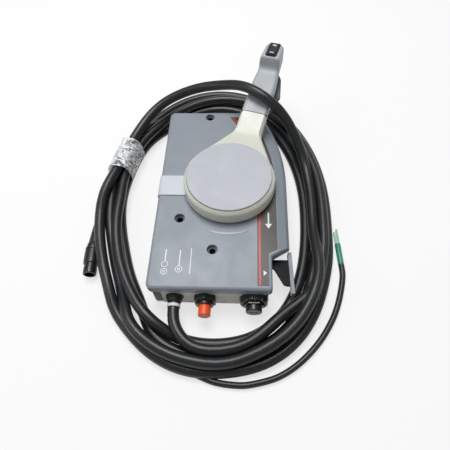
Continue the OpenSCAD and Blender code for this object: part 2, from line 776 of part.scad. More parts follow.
module harness_lead() {
    color([0.12, 0.12, 0.13]) tube(lead_route, cord_d, 10);
}

module harness_coil() {
    color([0.12, 0.12, 0.13]) difference() {
        linear_extrude(coil_h) polygon(oval(-161, 121, -205.4, 220.4));
        translate([0, 0, -1]) linear_extrude(coil_h + 2) polygon(oval(-121.3, 83.8, -165.8, 159.8));
        // Seat of the connector at the coil's outer left
        translate([-168, -104, -1]) cube([24, 43.8, 19.6]);
    }
}

module bundle_film() {
    color([0.85, 0.87, 0.9, 0.5]) intersection() {
        difference() {
            linear_extrude(coil_h + 1.4) polygon(oval(-162.6, 122.6, -207, 222));
            translate([0, 0, -1]) linear_extrude(coil_h + 1.2) polygon(oval(-161.2, 121.2, -205.6, 220.6));
            translate([0, 0, -1]) linear_extrude(40) polygon(oval(-119.5, 82, -164, 158));
        }
        translate([-175, 8, 0]) cube([75, 72, 60]);
    }
}

module harness_connector() {
    color([0.1, 0.1, 0.1]) translate([-156.4, -61, 8.8]) rotate([90, 0, 4]) {
        cylinder(r = 8.6, h = 26);
        translate([0, 0, 26]) cylinder(r = 7.4, h = 12);
    }
}

module branch_lead() {
    color([0.12, 0.12, 0.13]) tube(branch_route, branch_d, 8);
}

module branch_sleeve() {
    color([0.2, 0.65, 0.5]) translate(branch_tip) rotate([-90, 0, branch_turn])
        cylinder(r = branch_d / 2, h = sleeve_l);
}

module branch_ends() {
    color([0.7, 0.9, 0.75]) for (k = [-1, 1]) translate(branch_tip) rotate([-90, 0, branch_turn])
        translate([1.6 * k, 0, sleeve_l]) cylinder(r = 1.3, h = 18 + 2 * k);
}

// ---------- Lever ----------

module main_shaft() {
    color("silver") {
        translate([0, 0, plate_t + 1.2]) cylinder(r = shaft_r, h = web_z + web_t - plate_t - 1.2);
    }
}

// Plan of the arm: hub, fillets of radius f into the neck, and the neck to x1.
function arm_plan(x1, w) =
    let (f = 44, h = w / 2, cx = sqrt(pow(hub_r + f, 2) - pow(h + f, 2)), a0 = atan2(h + f, cx),
        side = [for (k = [0:8]) let (a = 270 - (90 - a0) * (8 - k) / 8)
            [cx + f * cos(a), h + f + f * sin(a)]])
    concat([[0, 0]], [for (p = side) [p[0], -p[1]]], [[x1, -h + 0.6], [x1, h - 0.6]],
        [for (k = [len(side) - 1:-1:0]) side[k]]);

module hub_arm() {
    color([0.93, 0.93, 0.88]) difference() {
        union() {
            // Ring, web and boss
            rotate_extrude($fn = 128) polygon([[hub_r - 6, hub_z], [hub_r, hub_z],
                [hub_r, ring_top - 6], [hub_r - 0.6, ring_top - 3.4], [hub_r - 2, ring_top - 1.4],
                [disc_r + 0.8, ring_top], [disc_r + 0.25, ring_top], [disc_r + 0.25, disc_top - disc_t],
                [disc_r - 3, disc_top - disc_t], [disc_r - 3, web_z + web_t], [0, web_z + web_t],
                [0, hub_z - 0.4], [14, hub_z - 0.4], [14, web_z], [hub_r - 6, web_z]]);
            lever_frame() difference() {
                intersection() {
                    linear_extrude(200) polygon(arm_plan(arm_l, neck_w));
                    side_solid([[0, hub_z + 2], [rise_x, hub_z + 2], [arm_l, top_z(arm_l) - arm_t],
                        [arm_l, top_z(arm_l)], [rise_x, ring_top], [0, ring_top]], 4 * hub_r);
                }
                translate([0, 0, -1]) cylinder(r = hub_r - 3, h = 200);
            }
            // Tang inside the grip
            lever_frame() side_solid([[arm_l - 6, part_z(arm_l - 6) - tang_t / 2],
                [arm_l + tang_l, part_z(arm_l + tang_l) - tang_t / 2],
                [arm_l + tang_l, part_z(arm_l + tang_l) + tang_t / 2],
                [arm_l - 6, part_z(arm_l - 6) + tang_t / 2]], tang_w);
        }
        translate([0, 0, 0]) cylinder(r = shaft_r + 0.02, h = web_z + web_t + 1);
        lever_frame() for (x = [arm_l + 12, arm_l + 28]) translate([x, 0, 0])
            cylinder(r = 2.2, h = 200);
    }
}

module hub_disc() {
    color([0.78, 0.8, 0.83]) {
        translate([0, 0, disc_top - disc_t]) cylinder(r = disc_r, h = disc_t);
        for (a = [30, 150, 270]) rotate(a) translate([disc_r - 4 * leg_r, 0, web_z + web_t])
            cylinder(r = leg_r, h = disc_top - disc_t / 2 - web_z - web_t);
    }
}

module hub_screw() {
    color("silver") translate([0, 0, web_z + web_t]) {
        cylinder(r = shaft_r + 3, h = 1);
        translate([0, 0, 1]) cylinder(r = 6.5, h = disc_top - disc_t - web_z - web_t - 1.5, $fn = 6);
    }
}

module shaft_spacer() {
    color("silver") difference() {
        translate([0, 0, spacer_z]) cylinder(r = spacer_r, h = front_bush_z - 0.3 - spacer_z);
        translate([0, 0, spacer_z - 1]) cylinder(r = shaft_r + 0.02, h = 30);
    }
}

module drive_gear() {
    color("gray") translate([0, 0, gear_z]) difference() {
        linear_extrude(gear_t) {
            circle(r = pitch_drive - tooth_ded + 0.3);
            teeth(pitch_drive, 90, drive_teeth, 360 / drive_teeth);
        }
        translate([0, 0, -1]) cylinder(r = shaft_r + 0.02, h = gear_t + 2);
    }
}

module detent_plate() {
    color("darkgray") translate([0, 0, detent_z]) difference() {
        cylinder(r = detent_r, h = detent_t);
        translate([0, 0, -1]) cylinder(r = shaft_r + 0.02, h = detent_t + 2);
        for (a = [-31, 0, 32]) rotate(rest_angle + a) translate([detent_r + 1.2, 0, -1])
            cylinder(r = ball_r, h = detent_t + 2);
    }
}

// Plan of the grip: tapered body and round head.
grip_plan = let (h = neck_w / 2 - 0.3, e = head_w / 2)
    concat([[arm_l, -h], [scoop_x - 10, -h + 1], [head_x, -e - 0.6]],
        [for (k = [0:12]) let (a = -90 + 180 * k / 12) [reach - e + e * cos(a), e * sin(a)]],
        [[head_x, e + 0.6], [scoop_x - 10, h - 1], [arm_l, h]]);

module grip_half_plan() {
    linear_extrude(200) polygon(grip_plan);
}

module tang_slot() {
    side_solid([[arm_l - 6, part_z(arm_l - 6) - tang_t / 2],
        [arm_l + tang_l + 1, part_z(arm_l + tang_l + 1) - tang_t / 2],
        [arm_l + tang_l + 1, part_z(arm_l + tang_l + 1) + tang_t / 2],
        [arm_l - 6, part_z(arm_l - 6) + tang_t / 2]], tang_w + 0.4);
}

module grip_front() {
    head_top = head_z;
    color([0.72, 0.74, 0.77]) lever_frame() difference() {
        intersection() {
            grip_half_plan();
            // Side profile: rising grip, thumb scoop, head
            side_solid([[arm_l, part_z(arm_l)], [reach, part_z(reach)], [reach, head_top - 9],
                [reach - 1.5, head_top - 4.5], [reach - 5, head_top - 1.4], [reach - 9, head_top],
                [head_x + 3, head_top], [head_x + 0.6, head_top - 1.2], [head_x, head_top - 3],
                [head_x - 0.6, head_top - 6.4], [head_x - 2.6, head_top - 10],
                [head_x - 6.4, top_z(head_x - 6.4) + 0.9], [scoop_x - 4, top_z(scoop_x - 4)],
                [arm_l, top_z(arm_l)]], 60);
            // Rounded back across the grip
            grip_crown();
        }
        tang_slot();
        // Pocket for the trim switch
        translate([rocker_x - rocker_l / 2 - bezel, -rocker_w / 2 - bezel, switch_z])
            cube([rocker_l + 2 * bezel, rocker_w + 2 * bezel, 40]);
        for (x = [arm_l + 12, arm_l + 28]) translate([x, 0, 0]) cylinder(r = 2.05, h = part_z(x) + 5.5);
    }
}

// A long hexagonal bar that bevels the grip's upper edges.
module grip_crown() {
    h = neck_w / 2;
    rotate([0, 90, 0]) rotate(90) translate([0, 0, arm_l - 1]) linear_extrude(reach - arm_l + 3)
        polygon([[-h, 0], [h, 0], [h, head_z - 6], [h - 4, head_z + 1], [-h + 4, head_z + 1],
            [-h, head_z - 6]]);
}

module grip_back() {
    color([0.68, 0.7, 0.73]) lever_frame() difference() {
        intersection() {
            grip_half_plan();
            side_solid([[arm_l, part_z(arm_l)], [arm_l, top_z(arm_l) - arm_t - 1],
                [arm_l + 24, part_z(arm_l + 24) - grip_back_t], [head_x, part_z(head_x) - grip_back_t],
                [reach - 12, part_z(reach - 12) - grip_back_t], [reach - 3, part_z(reach - 3) - 6],
                [reach, part_z(reach) - 2], [reach, part_z(reach)]], 60);
        }
        tang_slot();
        // Slot for the trigger's ear
        translate([trigger_x - 6, -4.3, trigger_z - 4]) cube([12, 8.6, 11]);
        translate([trigger_x, 30, trigger_z + 2.5]) rotate([90, 0, 0])
            cylinder(r = 1.5 + fit_c / 2, h = 60);
        for (x = [arm_l + 12, arm_l + 28]) translate([x, 0, 0]) {
            cylinder(r = 2.2, h = 200);
            cylinder(r = 4.2, h = part_z(x) - grip_back_t + 3);
        }
    }
}

module grip_screws() {
    color("silver") lever_frame() for (x = [arm_l + 12, arm_l + 28]) translate([x, 0, 0]) {
        translate([0, 0, part_z(x) - grip_back_t + 1]) cylinder(r = 3.8, h = 2);
        translate([0, 0, part_z(x) - grip_back_t + 1]) cylinder(r = 2, h = grip_back_t + 4);
    }
}

module trim_switch_body() {
    l = rocker_l + 2 * bezel - 0.2;
    w = rocker_w + 2 * bezel - 0.2;
    color([0.15, 0.17, 0.17]) lever_frame() difference() {
        translate([rocker_x - l / 2, -w / 2, switch_z]) cube([l, w, head_z + 0.4 - switch_z]);
        translate([rocker_x - rocker_l / 2 - 1.4, -rocker_w / 2 - move_c, rocker_z - 5])
            cube([rocker_l + 2.8, rocker_w + 2 * move_c, 40]);
    }
}

module trim_rocker() {
    color([0.2, 0.22, 0.22]) lever_frame() translate([rocker_x, 0, 0]) {
        side_solid([[-rocker_l / 2, rocker_z + 1], [rocker_l / 2, rocker_z + 1],
            [rocker_l / 2, head_z + 1.6], [0, head_z + 0.6], [-rocker_l / 2, head_z + 1.6]], rocker_w);
        translate([0, rocker_w / 2, rocker_z - 2.5]) rotate([90, 0, 0]) cylinder(r = 2.3, h = rocker_w);
        translate([-2, -rocker_w / 2, rocker_z - 2.5]) cube([4, rocker_w, 4]);
    }
}

module trigger_pin() {
    color("silver") lever_frame() translate([trigger_x, 9, trigger_z + 2.5]) rotate([90, 0, 0])
        cylinder(r = 1.5, h = 18);
}

// The trigger: an ear on its pin and a paddle that widens on the side of the lock rod.
module neutral_trigger() {
    far = trigger_l;
    drop = 4 + far * (rise + 0.06);
    color([0.35, 0.36, 0.38]) lever_frame() difference() {
        union() {
            translate([trigger_x, 4, trigger_z + 2.5]) rotate([90, 0, 0]) cylinder(r = 3.6, h = 8);
            intersection() {
                side_solid([[trigger_x + 5, trigger_z - 1.6], [trigger_x + 5, trigger_z - 5],
                    [trigger_x - far, trigger_z - drop - 4], [trigger_x - far, trigger_z - drop]], 60);
                linear_extrude(200) polygon([[trigger_x + 5, 8], [trigger_x - far, 8],
                    [trigger_x - far, -19], [trigger_x - far + 4, -21.5], [trigger_x - 4, -15.5],
                    [trigger_x + 5, -8]]);
            }
            translate([trigger_x - 3, -4, trigger_z - 4.4]) cube([6, 8, 5]);
        }
        translate([trigger_x, 30, trigger_z + 2.5]) rotate([90, 0, 0])
            cylinder(r = 1.5 + run_c, h = 60);
    }
}

// ---------- Sectors ----------

// A toothed sector with its hub and cable arm, about the origin.
module sector(a0, a_arm) {
    pitch = 360 / sector_teeth;
    difference() {
        union() {
            cylinder(r = post_r + 5, h = gear_t);
            linear_extrude(gear_t) {
                polygon(concat([[0, 0]], [for (k = [0:10]) let (a = a0 - pitch / 2 + k * 11 * pitch / 10)
                    (pitch_sector - tooth_ded + 0.3) * [cos(a), sin(a)]]));
                teeth(pitch_sector, a0, 11, pitch);
            }
            rotate(a_arm) translate([0, -5, 0]) cube([cable_arm_l, 10, gear_t / 2]);
            rotate(a_arm) translate([cable_arm_l, 0, 0]) cylinder(r = 5, h = gear_t / 2);
        }
        translate([0, 0, -1]) cylinder(r = post_r + run_c, h = gear_t + 2);
        rotate(a_arm) translate([cable_arm_l, 0, -1]) cylinder(r = pin_r + run_c, h = gear_t + 2);
    }
}

shift_teeth = 180; // angle of the shift sector's first tooth
shift_arm = 40;
throttle_teeth = 0;
throttle_arm = 320;

module shift_sector() {
    color("gray") translate([0, sector_d, gear_z]) sector(shift_teeth - 5, shift_arm);
}

module throttle_sector() {
    color("gray") translate([0, -sector_d, gear_z]) sector(throttle_teeth - 5, throttle_arm);
}

module cable_pin() {
    translate([0, 0, -0.6]) cylinder(r = pin_r, h = gear_t + 2);
    translate([0, 0, gear_t / 2]) cylinder(r = pin_r + 1.2, h = 2);
}

module shift_cable_pin() {
    color("silver") translate([0, sector_d, gear_z]) rotate(shift_arm)
        translate([cable_arm_l, 0, 0]) cable_pin();
}

module throttle_cable_pin() {
    color("silver") translate([0, -sector_d, gear_z]) rotate(throttle_arm)
        translate([cable_arm_l, 0, 0]) cable_pin();
}

back_plate();
case_tub();
face_cover();
slot_cover();
indicator_strip();
red_line();
end_plate();
case_screws();
mount_sleeves();
front_bush();
back_bush();
detent_holder();
detent_spring();
detent_ball();
shift_post();
throttle_post();
neutral_switch();
friction_pad();
friction_screw();
key_switch_body();
key_ring_nut();
key_hex_ring();
stop_switch_body();
stop_nut();
cable_gland();
gland_nut();
cable_band();
idle_pivot();
harness_lead();
harness_coil();
bundle_film();
harness_connector();
branch_lead();
branch_sleeve();
branch_ends();
main_shaft();
hub_arm();
hub_disc();
hub_screw();
shaft_spacer();
drive_gear();
detent_plate();
grip_front();
grip_back();
grip_screws();
trim_switch_body();
trigger_pin();
neutral_trigger();
trim_rocker();
shift_sector();
shift_cable_pin();
throttle_sector();
throttle_cable_pin();
idle_lever();
stop_button();
key_cap();
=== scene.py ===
# %% [markdown]
# # A side-mount throttle and shift control
# The control lies on its back on a pale floor with its engine harness coiled round it.
# Every solid of the mechanism comes from CAD and stays where it is. The pieces that show are
# made again here as finer surfaces, worked out with numpy, in the same frame and in metres.

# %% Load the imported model
import math

import bmesh
import bpy
import numpy as np
from mathutils import Matrix, Vector


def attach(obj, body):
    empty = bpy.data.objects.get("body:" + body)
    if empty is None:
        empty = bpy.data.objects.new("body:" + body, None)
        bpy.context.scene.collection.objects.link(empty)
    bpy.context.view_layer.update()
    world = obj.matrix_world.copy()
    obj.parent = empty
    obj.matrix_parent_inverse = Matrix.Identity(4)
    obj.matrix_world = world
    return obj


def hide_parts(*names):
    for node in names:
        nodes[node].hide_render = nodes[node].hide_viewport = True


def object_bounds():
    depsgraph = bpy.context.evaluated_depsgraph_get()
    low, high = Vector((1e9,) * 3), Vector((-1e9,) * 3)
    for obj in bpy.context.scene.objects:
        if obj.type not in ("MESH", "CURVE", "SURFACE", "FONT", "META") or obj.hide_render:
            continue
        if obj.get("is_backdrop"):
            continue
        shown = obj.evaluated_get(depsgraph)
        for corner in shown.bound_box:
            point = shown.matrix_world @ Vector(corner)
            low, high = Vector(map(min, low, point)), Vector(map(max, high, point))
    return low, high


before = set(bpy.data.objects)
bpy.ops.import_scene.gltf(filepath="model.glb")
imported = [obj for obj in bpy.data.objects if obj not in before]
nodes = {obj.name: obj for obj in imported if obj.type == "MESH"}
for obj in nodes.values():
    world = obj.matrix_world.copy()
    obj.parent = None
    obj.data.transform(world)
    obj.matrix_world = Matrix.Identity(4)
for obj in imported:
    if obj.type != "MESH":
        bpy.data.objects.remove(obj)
cad_low, cad_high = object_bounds()
MM = 0.001
print("CAD nodes:", len(nodes), "box in mm:", [round(1000 * c, 1) for c in (*cad_low, *cad_high)])

# %% [markdown]
# ## Sizes that the pieces share
# A dressed piece has to sit exactly on its CAD solid, so the sizes repeat the part's own values,
# in millimetres. The lever's pieces are drawn along +X and then turned to the full-ahead angle.

# %% Sizes of the case, the hub and the lever
X_LEFT, X_RIGHT, X_BULGE = -81.0, 47.0, 66.0
Y_REAR, Y_STEP, Y_FRONT = -128.0, -90.0, 121.0
FACE_Z, RIM_Z, EDGE = 43.4, 33.4, 3.5
MOUNTS = [(-28.5, 111.5), (-53.5, -44.5), (-15.5, -83.0)]
PLATE_Y = -126.5
KEY, STOP, GLAND = (28.8, 18), (-21.7, 19), (-53.5, 20)  # x and height on the rear plate
IDLE_PIVOT = (36, -80, 0)
HUB_R, HUB_Z, RING_TOP = 51.6, 45.4, 62.4
DISC_R, DISC_TOP = 47.6, 64.3
ARM_L, NECK_W, ARM_T = 96.0, 33.0, 12.5
REACH, HEAD_Z = 195.0, 100.97
RISE_X, RISE = 66.0, math.tan(math.radians(14.5))  # where the lever starts to rise, and how steeply
LEVER_ANGLE = math.radians(73.4)
CORD_D, BRANCH_D = 12.3, 6.6

# %% [markdown]
# ## Mesh tools
# A surface on a grid is an array of points with one row for each step along it. Its faces only
# depend on how many rows and columns there are, so one function gives them for every piece.

# %% Tools that turn arrays into pieces
def grid_faces(rows, cols, closed=True, start=0):
    """Quads between neighbouring rows of a grid; corner (r, c) has the number start + r * cols + c."""
    r, c = np.meshgrid(np.arange(rows - 1), np.arange(cols if closed else cols - 1), indexing="ij")
    n = (c + 1) % cols
    quads = np.stack([r * cols + c, r * cols + n, (r + 1) * cols + n, (r + 1) * cols + c], -1)
    return (quads.reshape(-1, 4) + start).tolist()


def turned(points, angle=LEVER_ANGLE):
    """Points turned about the Z axis: x' = x cos a - y sin a and y' = x sin a + y cos a."""
    p = np.asarray(points, float)
    c, s = math.cos(angle), math.sin(angle)
    return np.stack([p[..., 0] * c - p[..., 1] * s, p[..., 0] * s + p[..., 1] * c, p[..., 2]], -1)


def in_metres(points):
    """The points of any grid as a plain list, in metres."""
    return (np.asarray(points, float).reshape(-1, 3) * MM).tolist()


def placed(name, data):
    """A new object in the scene that shows the data."""
    obj = bpy.data.objects.new(name, data)
    bpy.context.scene.collection.objects.link(obj)
    return obj


def shell(points, faces):
    """A closed mesh in metres: points on the same spot are merged and the normals turned outwards."""
    work = bmesh.new()
    mesh = bpy.data.meshes.new("shell")
    mesh.from_pydata(in_metres(points), [], faces)
    work.from_mesh(mesh)
    bmesh.ops.remove_doubles(work, verts=work.verts, dist=4e-6)
    bmesh.ops.dissolve_degenerate(work, edges=work.edges, dist=2e-6)
    bmesh.ops.recalc_face_normals(work, faces=work.faces)
    work.to_mesh(mesh)
    work.free()
    return mesh


def carved(mesh, cutters):
    """The mesh less each cutter, a (points, faces) pair in millimetres."""
    body = placed("carved", mesh)
    for cutter in cutters:
        tool = placed("cutter", shell(*cutter))
        cut = body.modifiers.new("cut", "BOOLEAN")
        cut.operation, cut.object, cut.solver = "DIFFERENCE", tool, "EXACT"
        bpy.context.view_layer.update()
        done = bpy.data.meshes.new_from_object(body.evaluated_get(bpy.context.evaluated_depsgraph_get()))
        body.modifiers.clear()
        body.data = done
        bpy.data.objects.remove(tool)
    bpy.data.objects.remove(body)
    return done


def piece(name, solid, body, slot, stands_for=(), sharp=38, finish_name=None, uv=None, bevel=0.0,
          cuts=(), extra=()):
    """An object from (points, faces) in millimetres, less the cuts and with extra closed shells.

    Its finish is the one with the slot's name, unless finish_name says another.
    """
    if uv is None:
        mesh = shell(*solid)
        if cuts:
            mesh = carved(mesh, cuts)
    else:
        mesh = bpy.data.meshes.new(name)
        mesh.from_pydata(in_metres(solid[0]), [], solid[1])
        layer = mesh.uv_layers.new(name="along")
        layer.data.foreach_set("uv", np.asarray(uv, np.float32).ravel())
    if extra:
        work = bmesh.new()
        work.from_mesh(mesh)
        for part in extra:
            work.from_mesh(shell(*part))
        work.to_mesh(mesh)
        work.free()
    mesh.validate()
    mesh.name = name
    obj = placed(name, mesh)
    mesh.materials.clear()
    mesh.materials.append(FINISH[finish_name or slot])
    mesh.polygons.foreach_set("use_smooth", np.ones(len(mesh.polygons), bool))
    mesh.polygons.foreach_set("material_index", np.zeros(len(mesh.polygons), np.int32))
    if bevel:
        mod = obj.modifiers.new("edges", "BEVEL")
        mod.width, mod.segments, mod.limit_method = bevel * MM, 3, "ANGLE"
        mod.angle_limit, mod.harden_normals = math.radians(30), False
    else:
        mesh.set_sharp_from_angle(angle=math.radians(sharp))
    weighted = obj.modifiers.new("flat faces stay flat", "WEIGHTED_NORMAL")
    weighted.keep_sharp = True
    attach(obj, body)
    if stands_for:
        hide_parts(*stands_for)
    return obj

# %% [markdown]
# Most pieces are one of three kinds of solid: a stack of outlines, a turned profile or a bar
# whose section changes along the lever.

# %% Outlines, stacks, turned profiles
def on_circle(radius, angles):
    """Points at the given angles: (r cos a, r sin a)."""
    return np.stack([radius * np.cos(angles), radius * np.sin(angles)], -1)


def unit(vectors):
    """Each row of the array at length 1."""
    return vectors / np.linalg.norm(vectors, axis=1)[:, None]


def rounded(corners, radii, n=8):
    """The outline with arcs at its corners.

    An arc's centre lies r / sin(h) along the bisector, where h is half the corner's angle.
    """
    c, line = np.asarray(corners, float), []
    for k, r in enumerate(radii):
        if not r:
            line.append(c[k:k + 1])
            continue
        u, v = c[k - 1] - c[k], c[(k + 1) % len(c)] - c[k]
        u, v = u / np.linalg.norm(u), v / np.linalg.norm(v)
        h = math.acos(float(u @ v)) / 2
        centre = c[k] + (u + v) / np.linalg.norm(u + v) * r / math.sin(h)
        s, e = c[k] + u * r / math.tan(h) - centre, c[k] + v * r / math.tan(h) - centre
        a0 = math.atan2(s[1], s[0])
        sweep = (math.atan2(e[1], e[0]) - a0 + 3 * math.pi) % (2 * math.pi) - math.pi
        t = a0 + sweep * np.linspace(0, 1, n + 1)
        line.append(centre + on_circle(r, t))
    return np.vstack(line)


def loft(levels):
    """Rows of closed loops joined by quads, with one flat face over each end."""
    rows, cols = levels.shape[:2]
    ends = [list(range(cols))[::-1], [(rows - 1) * cols + k for k in range(cols)]]
    return levels.reshape(-1, 3), grid_faces(rows, cols) + ends


def plate(outline, low, high):
    """A flat plate: the outline at two heights; each is a number or one value for each point."""
    level = lambda z: np.column_stack([outline, np.broadcast_to(z, len(outline))])
    return loft(np.stack([level(low), level(high)]))


def lathe(profile, sides=64, ring=False):
    """(radius, height) rows turned about Z; a ring also closes from the last row to the first."""
    p = np.asarray(profile, float)
    p = np.vstack([p, p[:1]]) if ring else p
    a = np.linspace(0, 2 * np.pi, sides, endpoint=False)
    height = np.broadcast_to(p[:, 1:], (len(p), sides))
    points = np.stack([p[:, :1] * np.cos(a), p[:, :1] * np.sin(a), height], -1)
    return points, grid_faces(len(p), sides)


def rod(radius, low, high, sides=64):
    """A plain cylinder between two heights."""
    return lathe([(0, low), (radius, low), (radius, high), (0, high)], sides)


def hoop(inner, outer, low, high, sides=64):
    """A plain ring between two radii and two heights."""
    return lathe([(inner, low), (outer, low), (outer, high), (inner, high)], sides, True)


def moved(solid, x, y, z):
    """A solid set down at x, y, z."""
    return solid[0] + np.array([x, y, z]), solid[1]


def rearward(solid, x, y, z):
    """A solid whose Z axis is laid along -Y at x, y, z: (a, b, c) goes to (x + a, y - c, z + b)."""
    p = np.asarray(solid[0], float)
    return np.stack([x + p[..., 0], y - p[..., 2], z + p[..., 1]], -1), solid[1]


def on_lever(solid):
    """A solid drawn along +X, turned to the lever's angle."""
    return turned(solid[0]), solid[1]


def lever_piece(name, solid, body, slot, stands_for=(), sharp=38, cuts=(), extra=(), **more):
    """A piece drawn along +X with its cuts and extra shells, turned to the lever's angle."""
    return piece(name, on_lever(solid), body, slot, stands_for, sharp, cuts=[on_lever(c) for c in cuts],
                 extra=[on_lever(e) for e in extra], **more)


def bend_left(x0, r, y0, y1, n=12):
    """An arc that leaves x = x0 at y0 and bends to the left: x = x0 - r + r cos a, y = y0 + r sin a."""
    a = np.linspace(0, math.asin((y1 - y0) / r), n + 1)
    return (x0 - r, y0) + on_circle(r, a)

# %% [markdown]
# ## The camera
# The view looks down on the control at 58 degrees from close by. The place and the
# angles of the camera were solved from the case's corners, so the parts line up in the frame.

# %% Camera
def look(pitch, yaw, roll, place, focal):
    """A camera whose view falls by pitch degrees, is swung by yaw about Z and rolled about its own axis."""
    e, w, r = (math.radians(a) for a in (pitch, yaw, roll))
    ahead = np.array([math.sin(w) * math.cos(e), math.cos(w) * math.cos(e), -math.sin(e)])
    right = np.array([math.cos(w), -math.sin(w), 0.0])
    up = np.cross(right, ahead)
    right, up = math.cos(r) * right + math.sin(r) * up, math.cos(r) * up - math.sin(r) * right
    lens = bpy.data.cameras.new("camera")
    lens.lens, lens.sensor_width, lens.clip_start, lens.clip_end = focal, 36.0, 0.01, 20.0
    obj = placed("camera", lens)
    turn = Matrix(np.stack([right, up, -ahead], 1).tolist()).to_4x4()
    obj.matrix_world = Matrix.Translation(Vector(place) * MM) @ turn
    return obj


bpy.context.scene.camera = look(pitch=57.96, yaw=-5.33, roll=-3.72, place=(18.8, -288.0, 420.78),
                                focal=32.878)
print("camera at", [round(c, 3) for c in bpy.context.scene.camera.location])

# %% [markdown]
# ## Floor and light
# The light is plain and soft: one broad lamp almost overhead, a weak one at the side and an even
# sky. The floor looks white because it glows a little by itself, for the camera and in
# reflections. The sky is white for the camera only, so the black parts reflect a darker one. No
# more light falls on the control for it.

# %% Floor, sky and lamps
def node_tree(owner):
    """The owner's node tree, emptied."""
    owner.use_nodes = True
    owner.node_tree.nodes.clear()
    return owner.node_tree


def feed(node, values):
    """Gives the named inputs their values: a number or colour is set, another node's output linked."""
    for label, value in values.items():
        if isinstance(value, bpy.types.NodeSocket):
            node.id_data.links.new(value, node.inputs[label])
        else:
            node.inputs[label].default_value = value


def add(tree, kind, values=(), **settings):
    """A new shader node with its settings and the values of its inputs."""
    node = tree.nodes.new("ShaderNode" + kind)
    for name, value in settings.items():
        setattr(node, name, value)
    feed(node, dict(values))
    return node


def maths(tree, operation, first, second):
    """The result of a Math node."""
    return add(tree, "Math", {0: first, 1: second}, operation=operation).outputs[0]


def seen_directly(tree, others=("Is Glossy Ray", "Is Transmission Ray")):
    """1 for a ray from the camera or one of the other named kinds, and 0 for soft light."""
    path = add(tree, "LightPath")
    result = path.outputs["Is Camera Ray"]
    for other in others:
        result = maths(tree, "MAXIMUM", result, path.outputs[other])
    return result


floor_paint = bpy.data.materials.new("floor_paint")
tree = node_tree(floor_paint)
paint = add(tree, "BsdfDiffuse", {"Color": (0.8, 0.8, 0.8, 1)})
pale = add(tree, "BsdfDiffuse", {"Color": (0.3, 0.3, 0.3, 1)})
glow = add(tree, "Emission", {"Color": (1, 1, 1, 1), "Strength": 0.68})
both = add(tree, "AddShader", {0: pale.outputs[0], 1: glow.outputs[0]})
mix = add(tree, "MixShader", {0: seen_directly(tree), 1: paint.outputs[0], 2: both.outputs[0]})
add(tree, "OutputMaterial", {0: mix.outputs[0]})
floor_mesh = bpy.data.meshes.new("floor")
floor_mesh.from_pydata([(-4, -4, 0), (4, -4, 0), (4, 4, 0), (-4, 4, 0)], [], [(0, 1, 2, 3)])
floor_mesh.materials.append(floor_paint)
placed("floor", floor_mesh)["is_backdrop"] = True

world = bpy.data.worlds.new("sky")
bpy.context.scene.world = world
tree = node_tree(world)
even = add(tree, "Background", {0: (0.96, 0.98, 1, 1), 1: 0.31})
white = add(tree, "Background", {0: (1, 1, 1, 1), 1: 1.0})
direct = seen_directly(tree, ("Is Transmission Ray",))
pick = add(tree, "MixShader", {0: direct, 1: even.outputs[0], 2: white.outputs[0]})
add(tree, "OutputWorld", {0: pick.outputs[0]})
bpy.context.scene.view_settings.view_transform = "Standard"


def lamp(name, place, size, power):
    """A square soft lamp at place, turned so that its -Z axis points at the control."""
    light = bpy.data.lights.new(name, "AREA")
    light.shape, light.size, light.energy = "SQUARE", size, power
    obj = placed(name, light)
    obj.location = place
    obj.rotation_euler = (Vector((0, 0, 0.03)) - Vector(place)).to_track_quat("-Z", "Y").to_euler()


lamp("key_lamp", (-0.15, 0.42, 1.5), size=0.8, power=17.0)
lamp("side_lamp", (-1.2, -0.2, 0.9), size=0.7, power=3.0)
print("lamps and floor are in place")

# %% [markdown]
# ## Finishes
# Painted metal, moulded plastic and rubber all have the same kinds of small faults: a fine grain,
# a slow change of tone, rubbed specks and hairline scratches. Two node groups make them. They are
# built once and get their own values in every material. The patterns read Object coordinates, so
# they stay on the part.

# %% Node groups that several finishes share
def new_group(name, inputs, outputs):
    """A shader node group with named sockets; inputs and outputs are (name, kind, default) rows."""
    group = bpy.data.node_groups.new(name, "ShaderNodeTree")
    for sockets, side in ((inputs, "INPUT"), (outputs, "OUTPUT")):
        for label, kind, value in sockets:
            made = group.interface.new_socket(label, in_out=side, socket_type="NodeSocket" + kind)
            if value is not None:
                made.default_value = value
    return group, group.nodes.new("NodeGroupInput"), group.nodes.new("NodeGroupOutput")


def noise(tree, vector, scale, detail=2.0, distortion=0.0):
    """The level of a noise texture; scale is a number or a socket."""
    values = {"Vector": vector, "Scale": scale, "Detail": detail, "Distortion": distortion}
    return add(tree, "TexNoise", values).outputs["Fac"]


def ramp(tree, value, low, high, to_low=0.0, to_high=1.0):
    """A Map Range node: value from low..high to to_low..to_high, with a smooth step."""
    values = {"Value": value, "From Min": low, "From Max": high, "To Min": to_low, "To Max": to_high}
    return add(tree, "MapRange", values, interpolation_type="SMOOTHSTEP").outputs["Result"]


def surface_grain():
    """Fine grain and a slow mottle.

    The bump is noise at Grain per metre, and the roughness goes from Smooth to Rough.
    """
    group, gin, gout = new_group(
        "surface_grain",
        [("Grain", "Float", 1400.0), ("Depth", "Float", 0.1), ("Mottle", "Float", 30.0),
         ("Smooth", "Float", 0.3), ("Rough", "Float", 0.45)],
        [("Tone", "Float", None), ("Roughness", "Float", None), ("Normal", "Vector", None)])
    place = add(group, "TexCoord").outputs["Object"]
    fine = noise(group, place, gin.outputs["Grain"], 3.0)
    slow = noise(group, place, gin.outputs["Mottle"], 4.0, 0.6)
    bump = add(group, "Bump", {"Distance": 0.0004, "Strength": gin.outputs["Depth"], "Height": fine})
    rough = ramp(group, slow, 0.25, 0.75, gin.outputs["Smooth"], gin.outputs["Rough"])
    feed(gout, {"Tone": ramp(group, slow, 0.3, 0.7), "Normal": bump.outputs["Normal"],
                "Roughness": rough})
    return group


